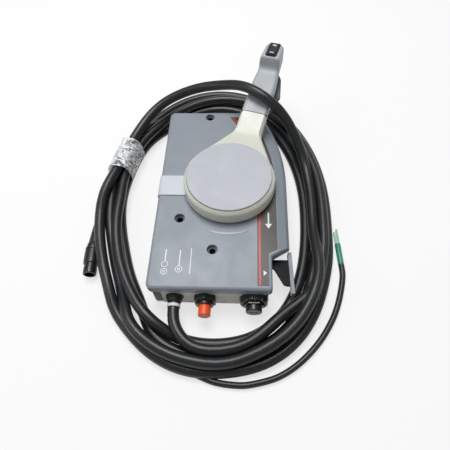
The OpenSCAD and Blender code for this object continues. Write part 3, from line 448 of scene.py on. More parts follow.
def scuffs():
    """Rubbed specks and hairline scratches: noise stretched along one way and cut off at a high level."""
    group, gin, gout = new_group("scuffs", [("Amount", "Float", 0.3)], [("Mask", "Float", None)])
    place = add(group, "TexCoord").outputs["Object"]
    worn = ramp(group, noise(group, place, 420.0), 0.71, 0.76)
    for angle, stretch in ((0.5, (900, 26, 90)), (-0.9, (700, 22, 80))):
        drawn = add(group, "Mapping", {"Rotation": (0, 0, angle), "Scale": stretch, "Vector": place})
        scratches = ramp(group, noise(group, drawn.outputs[0], 1.0, 1.0), 0.72, 0.78)
        worn = maths(group, "MAXIMUM", worn, scratches)
    feed(gout, {"Mask": maths(group, "MULTIPLY", worn, gin.outputs["Amount"])})
    return group


GRAIN, SCUFFS = surface_grain(), scuffs()


def rgb(r, g, b):
    """A screen colour, 0 to 255, in the renderer's linear light: ((c + 0.055) / 1.055) ** 2.4."""
    c = np.array([r, g, b], float) / 255
    return (*np.where(c <= 0.04045, c / 12.92, ((c + 0.055) / 1.055) ** 2.4), 1.0)


def blend_colour(tree, factor, first, second):
    """Mixes two colours by a mask; each is a plain colour or a socket."""
    return add(tree, "Mix", {"Factor": factor, 6: first, 7: second}, data_type="RGBA").outputs[2]


def finish(name, colour, deeper, rough, grain, depth, metal=0.0, scuff=0.25, specular=0.5, mottle=30.0):
    """A material of two close screen tones, with grain, changing roughness and paler scuffs."""
    material = bpy.data.materials.new(name)
    tree = node_tree(material)
    grained = add(tree, "Group", node_tree=GRAIN)
    feed(grained, {"Grain": grain, "Depth": depth, "Mottle": mottle, "Smooth": rough[0], "Rough": rough[1]})
    rubbed = add(tree, "Group", {"Amount": scuff}, node_tree=SCUFFS)
    paler = tuple(min(1, 1.5 * c) for c in rgb(*colour))
    tone = blend_colour(tree, grained.outputs["Tone"], rgb(*colour), rgb(*deeper))
    skin = add(tree, "BsdfPrincipled", {
        "Base Color": blend_colour(tree, rubbed.outputs["Mask"], tone, paler),
        "Roughness": grained.outputs["Roughness"], "Normal": grained.outputs["Normal"],
        "Metallic": metal, "Specular IOR Level": specular})
    add(tree, "OutputMaterial", {0: skin.outputs[0]})
    return material


# %% The finishes of the control
LOOKS = {  # tone, deeper tone, roughness, grain per metre and its depth, metal, scuffs, specular
    "cover_paint": ((142, 149, 158), (136, 143, 152), (0.36, 0.46), 1100, 0.12, 0.0, 0.06),
    "black_shell": ((30, 31, 33), (24, 25, 27), (0.42, 0.56), 900, 0.2),
    "pale_trim": ((205, 211, 216), (198, 204, 210), (0.3, 0.4), 1200, 0.08),
    "dark_strip": ((66, 63, 60), (60, 58, 56), (0.34, 0.44), 1500, 0.08),
    "red_line": ((206, 58, 38), (196, 50, 32), (0.3, 0.4), 1500, 0.06),
    # The end plate's tone is lifted near white to make up for the shade it lies in under the rim: painted
    # light.
    "end_plate": ((240, 238, 224), (224, 222, 208), (0.4, 0.55), 900, 0.15),
    "steel": ((176, 178, 181), (158, 160, 164), (0.24, 0.4), 800, 0.05, 1.0),
    "zinc_cast": ((150, 151, 153), (128, 129, 132), (0.4, 0.6), 500, 0.3, 1.0),
    "bronze": ((178, 140, 84), (150, 112, 62), (0.28, 0.42), 800, 0.08, 1.0),
    "ivory_paint": ((216, 216, 204), (210, 210, 197), (0.26, 0.36), 1200, 0.06),
    "hub_disc": ((188, 192, 198), (182, 186, 192), (0.38, 0.48), 1300, 0.1, 0.0, 0.05),
    "grip_grey": ((176, 181, 186), (168, 173, 178), (0.36, 0.48), 1200, 0.14),
    "rocker_black": ((44, 47, 48), (36, 38, 40), (0.4, 0.52), 1400, 0.16),
    "trigger_grey": ((74, 76, 79), (64, 66, 69), (0.38, 0.5), 1200, 0.16),
    "idle_plastic": ((20, 22, 25), (15, 17, 20), (0.42, 0.56), 1100, 0.14, 0.0, 0.25, 0.14),
    "switch_black": ((30, 31, 32), (22, 23, 24), (0.26, 0.38), 1100, 0.1),
    "hex_metal": ((96, 94, 86), (78, 76, 68), (0.3, 0.42), 800, 0.06, 0.8),
    "stop_red": ((252, 98, 38), (244, 88, 32), (0.3, 0.4), 1200, 0.08),
    "friction_fibre": ((112, 84, 58), (88, 64, 44), (0.7, 0.85), 600, 0.5),
    "sheath": ((34, 35, 37), (28, 29, 31), (0.3, 0.42), 1000, 0.1),
    "band_white": ((232, 232, 228), (222, 222, 218), (0.4, 0.5), 1200, 0.08),
    "sleeve_green": ((58, 150, 122), (46, 134, 108), (0.3, 0.42), 1200, 0.08),
    "lead_pale": ((170, 214, 180), (150, 200, 164), (0.34, 0.46), 1200, 0.08),
    "ring_nut_black": ((34, 35, 36), (26, 27, 28), (0.3, 0.42), 1100, 0.12),
    # The mount sleeves' steel, darkened as painted shade for the counterbores they sit in.
    "sleeve_painted_shade": ((64, 66, 68), (48, 50, 52), (0.35, 0.5), 800, 0.1, 0.7),
    # A near-black finish with no specular: painted shade for the groove between the grip and the arm.
    "groove_painted_shade": ((14, 14, 15), (10, 10, 11), (0.6, 0.8), 900, 0.1, 0.0, 0.0),
    "mark_white": ((236, 238, 238), (226, 228, 229), (0.4, 0.5), 1400, 0.06),
    # Paler than the cover's paint: a painted highlight along the ridge under the hub.
    "ridge_painted_highlight": ((176, 184, 192), (166, 174, 183), (0.3, 0.4), 1100, 0.1, 0.0, 0.0),
    # A pale grey for the thumb plate of the black idle lever: painted highlight for the light on its edge.
    "idle_painted_highlight": ((140, 144, 150), (126, 130, 136), (0.3, 0.42), 1100, 0.12),
}
FINISH = {name: finish(name, *row) for name, row in LOOKS.items()}
print(len(FINISH), "finishes from", len(bpy.data.node_groups), "node groups")

# %% [markdown]
# The film is clear plastic with whitish crinkles. A stretched noise drives how opaque it is.

# %% The film's finish
def film_finish():
    """Clear plastic: opacity from 0.10 to 0.86 where a noise stretched across the bundle is high."""
    material = finish("film_clear", (250, 251, 252), (236, 239, 242), (0.08, 0.22), 500, 0.6,
                      specular=0.8, mottle=60.0)
    tree = material.node_tree
    values = {"Vector": add(tree, "TexCoord").outputs["Object"], "Scale": (2.8, 1.0, 1.3),
              "Rotation": (0.0, 0.0, -0.45)}
    stretch = add(tree, "Mapping", values, vector_type="TEXTURE")
    crinkle = noise(tree, stretch.outputs["Vector"], 210.0, 4.0, 1.4)
    feed(tree.nodes["Principled BSDF"], {"Alpha": ramp(tree, crinkle, 0.38, 0.6, 0.1, 0.86)})
    return material


FINISH["film_clear"] = film_finish()

# %% [markdown]
# ## The engine harness
# The harness is one rubber-sheathed cable 12.3 mm thick and almost 4.8 m long. It leaves the case
# through a gland, bends down to the floor and runs round the control. Such a coil could be a set
# of separate rings, but then it would have no ends. Here it is one route. Each lap keeps to its
# own track, and lower left it rolls over to the next one. On the left all laps gather under a
# wrap of film. The last lap rises at the right, lies over the lever's grip in one long hump and
# comes down into the film. Many small rounds of settling then push the laps apart where they
# would pass through each other, as the real cable's own stiffness does.

# %% The coil's tracks and the route along them
TRACKS = {  # left, right, rear and front extremes, heights at the left, right and front
    "first": (-134, 108.6, -178.5, 174.5, 17, 17, 17),
    "inner": (-127.7, 90, -172, 166, 6.2, 6.2, 6.2),
    "second": (-140.2, 102.4, -184.5, 181, 6.2, 6.2, 6.2),
    "upper": (-153.5, 108.6, -191, 196, 17, 17, 6.2),
    "outer": (-153.5, 114.8, -199, 196, 6.2, 6.2, 6.2),
    "wrap": (-141.5, 107, -188, 188, 0, 0, 0)}
STARTS = {"first": -99, "inner": 236, "second": 585, "upper": 934, "outer": 1290}  # change-over, degrees
STACK = {"first": (6.3, 18.6), "inner": (6.3, 6.2), "second": (-6.3, 18.6), "outer": (-6.3, 6.2)}
LEAD = [(-53.5, -134, 20), (-53.5, -143, 20), (-51.6, -154.5, 19.9), (-46.3, -165.6, 19.5),
        (-37.8, -174.6, 18.9), (-26.7, -180.6, 18.2), (-13.5, -183.4, 17.8), (0, -182.6, 17.6),
        (12.5, -178.6, 17.5), (24.5, -172.2, 17.4), (35.5, -163.9, 17.4), (46, -154.2, 17.3),
        (57, -143.3, 17.2)]
OVER_THE_GRIP = [
    (20, -187, 18), (48, -173, 21), (73, -151, 25), (91, -118, 30), (98.5, -80, 25), (96.3, -42, 18.5),
    (96.8, -20, 18), (96.5, 7.4, 18), (94.9, 33.6, 19), (90.7, 54.5, 25), (83.5, 70.6, 37),
    (74.3, 82.1, 51), (63.8, 90.8, 65), (51.3, 97.4, 77), (38.1, 104.6, 83), (23, 116.8, 84.5),
    (7.5, 128.4, 80.5), (-5.7, 136.8, 73.5), (-23, 144.4, 66.5), (-43.3, 148, 60.4), (-67.8, 146, 52.4),
    (-92.2, 137.6, 44.1), (-111, 119, 37), (-125, 93, 31), (-134.5, 64.3, 29.6), (-141.5, 34.3, 29.4),
    (-148.5, 6, 25), (-152, -20, 19.5), (-151.6, -44, 17.3)]
TO_CONNECTOR = [(-155, -14, 6.3), (-156.2, -32, 7), (-156.8, -48, 8.2), (-156.8, -61, 8.8)]


def on_track(name, phi):
    """Points of an oval: x = cx + a cos(phi) m and y = cy + b sin(phi) m.

    At the lower right m = 1 + 0.075 sin(2 phi)^2, which fills the corner out, and elsewhere m = 1.
    """
    left, right, rear, front, z_left, z_right, z_front = TRACKS[name]
    full = 1 + 0.075 * np.sin(2 * phi) ** 2 * ((np.sin(phi) < 0) & (np.cos(phi) > 0))
    lift = np.clip(np.sin(phi) * 1.6 - 0.6, 0, 1) ** 2
    z_side = z_left + (z_right - z_left) * (1 + np.cos(phi)) / 2
    return np.stack([(left + right) / 2 + (right - left) / 2 * np.cos(phi) * full,
                     (rear + front) / 2 + (front - rear) / 2 * np.sin(phi) * full,
                     z_side + (z_front - z_side) * lift], -1)


def in_wrap(name, phi):
    """Where a lap lies inside the film: on the wrap's own oval, moved to the lap's place in the stack."""
    aside, height = STACK[name]
    return on_track("wrap", phi) * (1, 1, 0) + (aside * 0.93, -aside * 0.3, height)


def smooth_step(value, start, width):
    """0 before start and 1 after start + width, with t^2 (3 - 2t) between them."""
    t = np.clip((value - start) / width, 0, 1)
    return (t * t * (3 - 2 * t))[:, None]


def laps(start, end):
    """The tracks from start to end, in degrees.

    Each lap gathers in the wrap at about 160 degrees, and lower left it changes to the next track.
    """
    degrees = np.arange(start, end, 2.5)
    phi = np.radians(degrees)
    gather = smooth_step(degrees % 360, 124, 28) * (1 - smooth_step(degrees % 360, 172, 34))
    points = np.zeros((len(phi), 3))
    for name, change in STARTS.items():
        track = on_track(name, phi)
        if name in STACK:
            track = track * (1 - gather) + in_wrap(name, phi) * gather
        w = smooth_step(degrees, change, 22)
        points = points * (1 - w) + track * w
    return points


def curve_through(points, n):
    """Catmull-Rom curve: p(t) = ((2b) + (c - a)t + (2a - 5b + 4c - d)t^2 + (3b - a - 3c + d)t^3) / 2."""
    p = np.asarray(points, float)
    p = np.vstack([2 * p[0] - p[1], p, 2 * p[-1] - p[-2]])
    a, b, c, d = p[:-3], p[1:-2], p[2:-1], p[3:]
    t = np.linspace(0, 1, n, endpoint=False)[:, None, None]
    out = 0.5 * (2 * b + (c - a) * t + (2 * a - 5 * b + 4 * c - d) * t ** 2
                 + (3 * b - a - 3 * c + d) * t ** 3)
    return np.vstack([out.transpose(1, 0, 2).reshape(-1, p.shape[1]), p[-2:-1]])


def running_length(points):
    """The length of a line up to each of its points."""
    return np.concatenate([[0], np.cumsum(np.linalg.norm(np.diff(points, axis=0), axis=1))])


def evenly(points, step):
    """The same line with points a step apart, read off its running length."""
    run = running_length(points)
    at = np.linspace(0, run[-1], int(round(run[-1] / step)) + 1)
    return np.stack([np.interp(at, run, points[:, k]) for k in range(points.shape[1])], -1)


def settle(points, diameter, rounds=200, held=5):
    """Pushes points apart that are closer than a diameter, evens the bends, keeps all above the floor."""
    q, home, near = points.copy(), points, diameter * 1.004
    i, j = np.triu_indices(len(q), 8)
    free = (np.arange(len(q)) >= held).astype(float)[:, None]
    for _ in range(rounds):
        v = q[j] - q[i]
        gap = np.linalg.norm(v, axis=1)
        k = gap < near
        push = (0.5 * (near - gap[k]) / gap[k])[:, None] * v[k]
        move = np.zeros_like(q)
        np.add.at(move, j[k], push)
        np.add.at(move, i[k], -push)
        bend = np.zeros_like(q)
        bend[1:-1] = 0.5 * (q[:-2] + q[2:]) - q[1:-1]
        bend[1:-1] -= 0.5 * (bend[:-2] + bend[2:])
        q += free * (0.8 * move + 0.35 * bend + 0.01 * (home - q))
        q[:, 2] = np.maximum(q[:, 2], diameter / 2 + 0.05)
    return q


rough_route = np.vstack([curve_through(LEAD, 4), laps(-38, 1002), curve_through(OVER_THE_GRIP, 6),
                         laps(1282, 1621), curve_through(TO_CONNECTOR, 4)])
harness_route = settle(evenly(rough_route, 6.0), CORD_D)

# %% [markdown]
# The sheath is a tube swept along the route. Its own map runs once round the cable and then along
# it, so the two mould lines of the rubber follow every bend.

# %% A tube along a route
def tube(route, radius, sides):
    """Rings round a route: p + r (cos a * side + sin a * up).

    The side is level, and up is square to it and to the route.
    """
    way = unit(np.gradient(route, axis=0))
    side = unit(np.cross(way, (0, 0, 1)))
    up = np.cross(side, way)
    a = np.linspace(0, 2 * np.pi, sides, endpoint=False)[:, None]
    return route[:, None] + radius * (np.cos(a) * side[:, None] + np.sin(a) * up[:, None])


def tube_piece(name, route, radius, stands_for, sides=20):
    """A closed tube with flat ends and a map: u goes round it once and v is metres along it."""
    rings = tube(route, radius, sides)
    n, m = rings.shape[:2]
    faces = [f[::-1] for f in grid_faces(n, m)]
    ends = [list(range(m)), [(n - 1) * m + k for k in range(m - 1, -1, -1)]]
    run = running_length(route) * MM
    corner = np.array(faces)
    col, row = corner % m, corner // m
    col = np.where((col == 0) & (col.max(1, keepdims=True) == m - 1), m, col)
    uv = np.concatenate([np.stack([col / m, run[row]], -1).reshape(-1, 2), np.zeros((2 * m, 2))])
    return piece(name, (rings, faces + ends), "box", "sheath", stands_for, 60, "cable_sheath", uv)


def sheath_finish():
    """Rubber with two mould lines: at u = 0.2 and u = 0.7 a narrow band lifts the surface."""
    material = finish("cable_sheath", (36, 37, 39), (29, 30, 32), (0.3, 0.4), 1300, 0.12, scuff=0.18,
                      mottle=18)
    tree = material.node_tree
    grained = next(n for n in tree.nodes if n.type == "GROUP" and n.node_tree == GRAIN)
    split = add(tree, "SeparateXYZ", {0: add(tree, "UVMap", uv_map="along").outputs[0]})
    away = maths(tree, "PINGPONG", maths(tree, "ADD", split.outputs["X"], 0.3), 0.25)
    line = ramp(tree, away, 0.0, 0.012, 1.0, 0.0)
    bump = add(tree, "Bump", {"Distance": 0.0006, "Strength": 0.8, "Height": line,
                              "Normal": grained.outputs["Normal"]})
    feed(tree.nodes["Principled BSDF"], {"Normal": bump.outputs["Normal"]})
    return material


FINISH["cable_sheath"] = sheath_finish()
harness = tube_piece("engine_harness", harness_route, CORD_D / 2, ["harness_lead", "harness_coil"])

# %% [markdown]
# A thinner lead branches off the harness at the rear, runs round outside it and ends in a green
# sleeve with two bare pale leads.

# %% The branch lead
BRANCH = [(-35, -197.6, 4.6), (-22, -203, 3.6), (-8, -207.5, 3.4), (8, -209.5, 3.4), (24, -209, 3.4),
          (46, -203.5, 3.4), (60, -197, 3.4), (73, -188, 3.4), (85, -177, 3.4), (96, -164.5, 3.4),
          (105, -151.5, 3.4), (113, -137, 3.4), (119, -122, 3.4), (123.4, -107, 3.4),
          (126.2, -94, 3.4), (126.8, -86, 3.4), (126.4, -78, 3.4)]
branch_route = evenly(curve_through(BRANCH, 8), 3.0)
branch = tube_piece("branch_lead_sheath", branch_route, BRANCH_D / 2, ["branch_lead"], 16)

# %% [markdown]
# ## The face cover
# The cover is a shallow dish. Its edge is a quarter round at the left, front and rear. Along the
# bulged side it is a sloping flank with a knee instead. Both profiles have twelve levels, and the
# corners blend one into the other, so the surface is a single loft.

# %% The face cover
def cover_outlines():
    """The cover's outer outline and the edge of its face, point for point.

    The third array says how much of the flank each point has, from 0 to 1.
    """
    side = bend_left(X_BULGE, 237, 10, Y_FRONT)
    outer = rounded([(X_LEFT, Y_REAR), (X_RIGHT, Y_REAR), (X_RIGHT, Y_STEP), (X_BULGE, -78), *side,
                     (X_LEFT, Y_FRONT)], [7, 3.5, 2, 3] + [0] * 12 + [7, 7])
    side = bend_left(53.5, 207, 0, Y_FRONT - EDGE)
    face = rounded([(X_LEFT + EDGE, Y_REAR + EDGE), (44.2, Y_REAR + EDGE), (44.2, -88.07),
                    (53.5, -83.45), *side, (X_LEFT + EDGE, Y_FRONT - EDGE)],
                   [3.5, 1.5, 1.5, 2.5] + [0] * 12 + [3.5, 3.5])
    flank = np.concatenate([np.zeros(27), np.linspace(0, 1, 9), np.ones(12), np.linspace(1, 0, 9),
                            np.zeros(9)])
    return outer, face, flank


def cover_levels(inset=0.0, down=0.0):
    """Twelve levels from the rim to the face; an inner surface is inset at the rim and lies lower."""
    outer, face, flank = cover_outlines()
    if inset:
        way = unit(np.roll(outer, -1, 0) - np.roll(outer, 1, 0))
        outer = outer + inset * np.stack([-way[:, 1], way[:, 0]], -1)
    t = np.radians(np.arange(0, 91, 10))
    edge = np.vstack([[(0, RIM_Z), (0, RIM_Z + 1)],
                      np.stack([1 - np.cos(t), FACE_Z - EDGE + EDGE * np.sin(t)], -1)])
    slope = np.array([(0, RIM_Z), (0, 34.4), (0.012, 34.75), (0.10, 36.2), (0.235, 38.6), (0.27, 39.2),
                      (0.315, 39.62), (0.5, 40.65), (0.75, 42.02), (0.93, 43), (0.975, 43.25),
                      (1, FACE_Z)])
    part, z = (edge[:, k:k + 1] * (1 - flank) + slope[:, k:k + 1] * flank for k in (0, 1))
    plan = outer[None] + (face - outer)[None] * part[..., None]
    if down:
        z = np.maximum(z - down, RIM_Z - 1 + 0.02 * np.arange(12)[:, None])
    return np.concatenate([plan, z[..., None]], -1)


def long_band(corners, left, right, left_r, right_r, front, n=12):
    """Corners at the rear, then two arcs towards the front that bound a band along the bulged side."""
    return [*corners, *bend_left(right, right_r, 0, front, n), *bend_left(left, left_r, 0, front, n)[::-1]]


strip = rounded(long_band([(31.8, -123.4), (43.6, -123.4), (43.6, -86.67), (52.9, -82.22)],
                          31.8, 52.9, 198, 206.4, 111.5), [0.8] * 4 + [0] * 26, 3)
well = lathe([(0, 30), (4.6, 30), (4.6, 38.9), (5.5, 38.9), (5.5, 42.7), (5.75, 43.15), (6.3, 43.42),
              (6.3, 45), (0, 45)], 48)
cup = lathe([(4.6, 31.4), (7.5, 31.4), (7.5, 40.8), (5.5, 40.8), (5.5, 38.9), (4.6, 38.9)], 48, True)
SHAFT_HOLE, COLLAR = 12.1, 15
cover = piece("face_cover_shell", loft(cover_levels()), "box", "cover_paint", ["face_cover"], 32,
              cuts=[loft(cover_levels(2.5, 3.0)), plate(strip, 42.6, 46.0), rod(SHAFT_HOLE, 30, 46)]
              + [moved(well, x, y, 0) for x, y in MOUNTS],
              extra=[hoop(SHAFT_HOLE, COLLAR, 31.4, 40.8)] + [moved(cup, x, y, 0) for x, y in MOUNTS])
STRIP_Z = 43.2
inner_strip = strip + (np.array([37.0, 0]) - strip) * np.array([0.012, 0.0008])
piece("strip_plate", plate(inner_strip, 42.5, STRIP_Z), "box", "dark_strip", ["indicator_strip"],
      bevel=0.15)
red = np.vstack(long_band([(33.2, -122.6), (35.2, -122.6)], 33.2, 35.2, 198.6, 199.8, 110.6, 24))
piece("red_stripe", plate(red, 43.0, STRIP_Z + 0.08), "box", "red_line", ["red_line"])
print("face cover:", len(cover.data.polygons), "faces")

# %% [markdown]
# A pale clip covers the slot in the left edge. It follows the edge's round and lies on the face.

# %% The slot cover
def slot_cover_profile():
    """The clip's section: two walls 1.3 mm apart that bend over the case's edge, as (x, z) rows."""
    t = np.radians(np.linspace(180, 90, 9))
    out, inner = (on_circle(r, t) + (X_LEFT + EDGE, FACE_Z - EDGE) for r in (4.8, 3.52))
    return np.vstack([[(-82.3, 34.4)], out, [(-47.6, 44.7), (-47.6, 43.42)], inner[::-1],
                      [(-81.02, 34.4)]])


def across(section, ends):
    """A section of (x, z) rows carried along Y from one end to the other."""
    return loft(np.stack([np.insert(section, 1, y, axis=1) for y in ends]))


piece("slot_cover_clip", across(slot_cover_profile(), (-14, 14)), "box", "pale_trim", ["slot_cover"],
      bevel=0.4)

# %% [markdown]
# ## The hub and the arm
# The hub's ring and the arm are one casting with a soft shoulder all round. Its outline is half
# an outline and its mirror image: the ring, a small fillet, a straight slope, a large fillet and
# the neck. Every fillet keeps its centre when the outline moves inwards, so all levels match.

# %% The casting of ring and arm
NEAR_RING, NEAR_NECK = 14, 18  # radii of the two fillets


def arc(centre, radius, a0, a1, n):
    """n points of a circle from the angle a0 to a1."""
    return centre + on_circle(radius, np.linspace(a0, a1, n))


def casting_half(inset):
    """Half of the outline, inset: ring of radius R - i, fillets of radii f + i, the slope between."""
    b = math.radians(31.6)
    along, out = np.array([-math.cos(b), math.sin(b)]), np.array([math.sin(b), math.cos(b)])
    neck = NECK_W / 2
    big = np.array([70 + NEAR_NECK * math.tan(b / 2), neck + NEAR_NECK])
    foot = np.array([70, neck]) + NEAR_RING * out
    down = foot @ along
    small = foot + (-down - math.sqrt(down ** 2 - foot @ foot + (HUB_R + NEAR_RING) ** 2)) * along
    lean = math.atan2(small[1], small[0])
    tilt = math.atan2(out[1], out[0])
    ring = arc(np.zeros(2), HUB_R - inset, math.pi, lean, 46)
    near_ring = arc(small, NEAR_RING + inset, lean + math.pi, tilt + math.pi, 5)
    near_neck = arc(big, NEAR_NECK + inset, tilt + math.pi, 1.5 * math.pi, 10)
    slope = near_ring[-1] + (near_neck[0] - near_ring[-1]) * np.linspace(0, 1, 9)[1:-1, None]
    tail = np.stack([np.array([79, 83, 87, 91, 94, ARM_L - 0.4]), np.full(6, neck - inset)], -1)
    return np.vstack([ring, near_ring, slope, near_neck, tail])


def lever_top(x):
    """Height of the lever's top: level over the hub, then rising.

    The corner is eased by a root: (d + sqrt(d^2 + 36)) / 2, where d is the way past the corner.
    """
    d = np.asarray(x, float) - RISE_X
    return RING_TOP + RISE * (d + np.sqrt(d * d + 36)) / 2 - RISE * (np.sqrt(RISE_X ** 2 + 36) - RISE_X) / 2


def lever_bottom(x):
    """Height of the casting's underside: the ring's, a step up to the arm's, then rising to the joint."""
    t = np.clip((x - 50) / 6, 0, 1)
    rest = np.clip((x - RISE_X) / (ARM_L - RISE_X), 0, 1)
    return HUB_Z + 2 * t * t * (3 - 2 * t) + rest * (lever_top(ARM_L) - ARM_T - HUB_Z - 2)


def casting():
    """Levels of the outline from the underside over the shoulder, closed above and below."""
    shoulder = curve_through([(0, 6), (0.6, 3.4), (2, 1.4), (3.2, 0)], 4)[:, :2]
    rows = [(0.5, None, 0.0), (0.0, None, 0.6)] + [(d, drop, 0) for d, drop in shoulder]
    levels = []
    for inset, drop, lift in rows:
        half = casting_half(inset)
        z = lever_bottom(half[:, 0]) + lift if drop is None else lever_top(half[:, 0]) - drop
        half = np.column_stack([half, z])
        levels.append(np.vstack([half, (half * (1, -1, 1))[::-1]]))
    n, levels = len(half), np.stack(levels)
    k = np.arange(n - 1)
    lid = np.stack([k, k + 1, 2 * n - 2 - k, 2 * n - 1 - k], -1)
    top = lid + (len(levels) - 1) * 2 * n
    return levels.reshape(-1, 3), grid_faces(len(levels), 2 * n) + lid[:, ::-1].tolist() + top.tolist()


BORE_R, WELL_FLOOR = 8.02, 55.4
well = lathe([(0, 44), (BORE_R, 44), (BORE_R, WELL_FLOOR), (44.6, WELL_FLOOR), (44.6, 60.3),
              (DISC_R + 0.25, 60.3), (DISC_R + 0.25, 61.9), (DISC_R + 0.7, 62.6), (DISC_R + 0.7, 70),
              (0, 70)], 128)
ring = piece("hub_ring_and_arm", on_lever(casting()), "lever", "ivory_paint", ["hub_arm"], 34,
             cuts=[well, hoop(14, 45.6, 44, 51.4, 96)])
disc = lathe([(0, DISC_TOP - 4), (DISC_R, DISC_TOP - 4), (DISC_R, DISC_TOP - 0.9),
              (DISC_R - 0.12, DISC_TOP - 0.45), (DISC_R - 0.45, DISC_TOP - 0.12),
              (DISC_R - 0.9, DISC_TOP), (0, DISC_TOP)], 160)
legs = [moved(rod(3, WELL_FLOOR, 62, 24), x, y, 0)
        for x, y in on_circle(35.6, np.radians([30, 150, 270]))]
piece("hub_disc_plate", disc, "lever", "hub_disc", ["hub_disc"], 40, extra=legs)
print("ring and arm:", len(ring.data.polygons), "faces")

# %% [markdown]
# ## The grip
# The grip is two half shells that meet on a parting line 6.25 mm below the top. Each is a bar
# whose section, a rectangle with two round corners, changes along the lever. The upper shell dips
# into a thumb scoop and rises to the head that holds the trim switch.

# %% The two halves of the grip
def grip_half_width(x):
    """Half the grip's width: a taper, then a half circle at the far end, sqrt(e^2 - (x - centre)^2)."""
    end = 11.9
    taper = np.interp(x, [ARM_L, 140, 150, 161, REACH - end], [16.1, 15.2, 14.3, 12.7, end])
    rounding = np.sqrt(np.clip(end ** 2 - (x - REACH + end) ** 2, 0, None))
    return np.where(x > REACH - end, rounding, taper)


def parting(x):
    """Height of the line where the two halves meet."""
    return RING_TOP + RISE * (np.asarray(x, float) - RISE_X) - ARM_T / 2


def bar(path, corner, upper=True):
    """A bar along x: at each (x, z) of the path a section from the parting line to z.

    Each section has two round corners on the side away from the line.
    """
    x, z = path[:, 0], path[:, 1]
    w, rest = grip_half_width(x), parting(x)
    sign = 1 if upper else -1
    r = np.minimum(np.minimum(corner, np.abs(z - rest) * 0.72), w * 0.72)
    a = np.linspace(0, np.pi / 2, 8)
    y = np.concatenate([w[:, None], (w - r)[:, None] + r[:, None] * np.cos(a)], 1)
    h = np.concatenate([rest[:, None], (z - sign * r)[:, None] + sign * r[:, None] * np.sin(a)], 1)
    loop = np.stack([np.concatenate([y, -y[:, ::-1]], 1), np.concatenate([h, h[:, ::-1]], 1)], -1)
    return loft(np.concatenate([np.broadcast_to(x[:, None, None], (*loop.shape[:2], 1)), loop], -1))


def box_solid(x0, x1, y0, y1, z0, z1, r=0.0):
    """A box between the given limits, with upright edges of radius r."""
    corners = [(x0, y0), (x1, y0), (x1, y1), (x0, y1)]
    return plate(rounded(corners, [r] * 4, 6) if r else np.array(corners, float), z0, z1)


TOP_LINE = [(96.5, 70.3), (112, 74.3), (128, 78.43), (140, 81.5), (147, 83.2), (152, 84.2), (156.2, 85.7),
            (158.9, 88.6), (160.2, 93.5), (161.2, 98.3), (163.0, 100.5), (166.5, HEAD_Z), (172, HEAD_Z),
            (179, HEAD_Z), (184, HEAD_Z), (188, 100.4), (191.2, 98.6), (193.4, 95.6), (194.6, 91.9),
            (195, 89.6)]
LOW_LINE = [(96.5, 56.9), (106, 58), (120, 61.1), (140, 66.3), (161, 71.7), (180, 76.6), (187, 79.4),
            (192, 83), (194.2, 86.2), (195, 88.9)]
TRIGGER_X, TRIGGER_Z = 171.0, 71.8
PIN_Z = TRIGGER_Z + 2.5
pocket = box_solid(163.1, 189.9, -7.2, 7.2, 88.0, 110, 2.4)
grip = lever_piece("grip_front_shell", bar(curve_through(TOP_LINE, 4), 4.4), "lever", "grip_grey",
                   ["grip_front"], 40, [pocket])
ear_slot = box_solid(165, 177, -4.4, 4.4, TRIGGER_Z - 14, TRIGGER_Z + 7)
pin_hole = rearward(rod(1.56, -22, 22, 24), TRIGGER_X, 0, PIN_Z)
lever_piece("grip_back_shell", bar(curve_through(LOW_LINE, 4), 4.0, False), "lever", "grip_grey",
            ["grip_back"], 40, [ear_slot, pin_hole])

# %% [markdown]
# The trim switch is a black frame with a rocker that dips in the middle, and two pale bars mark
# its ends. The trigger hangs under the grip on a cross pin.

# %% The trim switch and the trigger
lever_piece("trim_switch_frame", box_solid(163.3, 189.7, -7.0, 7.0, 88.3, HEAD_Z + 0.45, 2.2), "lever",
            "rocker_black", ["trim_switch_body"], bevel=0.35,
            cuts=[box_solid(164.1, 188.9, -5.1, 5.1, 91, 110, 1.0)])
ROCKER_X, HALF_ROCKER, ROCKER_W, PIVOT_Z = 176.5, 11, 4.8, HEAD_Z - 7.5
near, far = ROCKER_X - HALF_ROCKER, ROCKER_X + HALF_ROCKER
rocker = np.array([(near, HEAD_Z - 4), (far, HEAD_Z - 4), (far, HEAD_Z + 1.6), (ROCKER_X, HEAD_Z + 0.6),
                   (near, HEAD_Z + 1.6)])
lever_piece("trim_rocker_cap", across(rocker, (ROCKER_W, -ROCKER_W)), "rocker", "rocker_black",
            ["trim_rocker"], bevel=0.5,
            extra=[rearward(rod(2.3, -ROCKER_W, ROCKER_W, 24), ROCKER_X, 0, PIVOT_Z),
                   box_solid(ROCKER_X - 2, ROCKER_X + 2, -ROCKER_W, ROCKER_W, PIVOT_Z, PIVOT_Z + 4)])
for name, x in (("trim_mark_up", 183.6), ("trim_mark_down", 169.4)):
    mark = rounded([(x - 1.2, -2.4), (x + 1.2, -2.4), (x + 1.2, 2.4), (x - 1.2, 2.4)], [0.5] * 4, 4)
    slope = HEAD_Z + 0.6 + np.abs(mark[:, 0] - ROCKER_X) / HALF_ROCKER
    lever_piece(name, plate(mark, slope - 0.3, slope + 0.08), "rocker", "pale_trim")

x, z = TRIGGER_X, TRIGGER_Z
paddle = rounded([(x + 5, 7.5), (x - 32, 7.5), (x - 32, -19), (x - 28, -21.3), (x - 4, -15.4),
                  (x + 5, -8)], [3, 6, 3, 3, 6, 2.5], 6)
lean = (x + 5 - paddle[:, 0]) / 37
lever_piece("neutral_trigger_paddle", plate(paddle, z - 5 - lean * 13.2, z - 1.6 - lean * 12.6),
            "trigger", "trigger_grey", ["neutral_trigger"], bevel=0.9,
            extra=[rearward(hoop(1.6, 3.6, -4, 4, 32), x, 0, PIN_Z),
                   box_solid(x - 3, x + 3, -4, 4, z - 3.4, z + 0.6)])
print("grip:", len(grip.data.polygons), "faces")
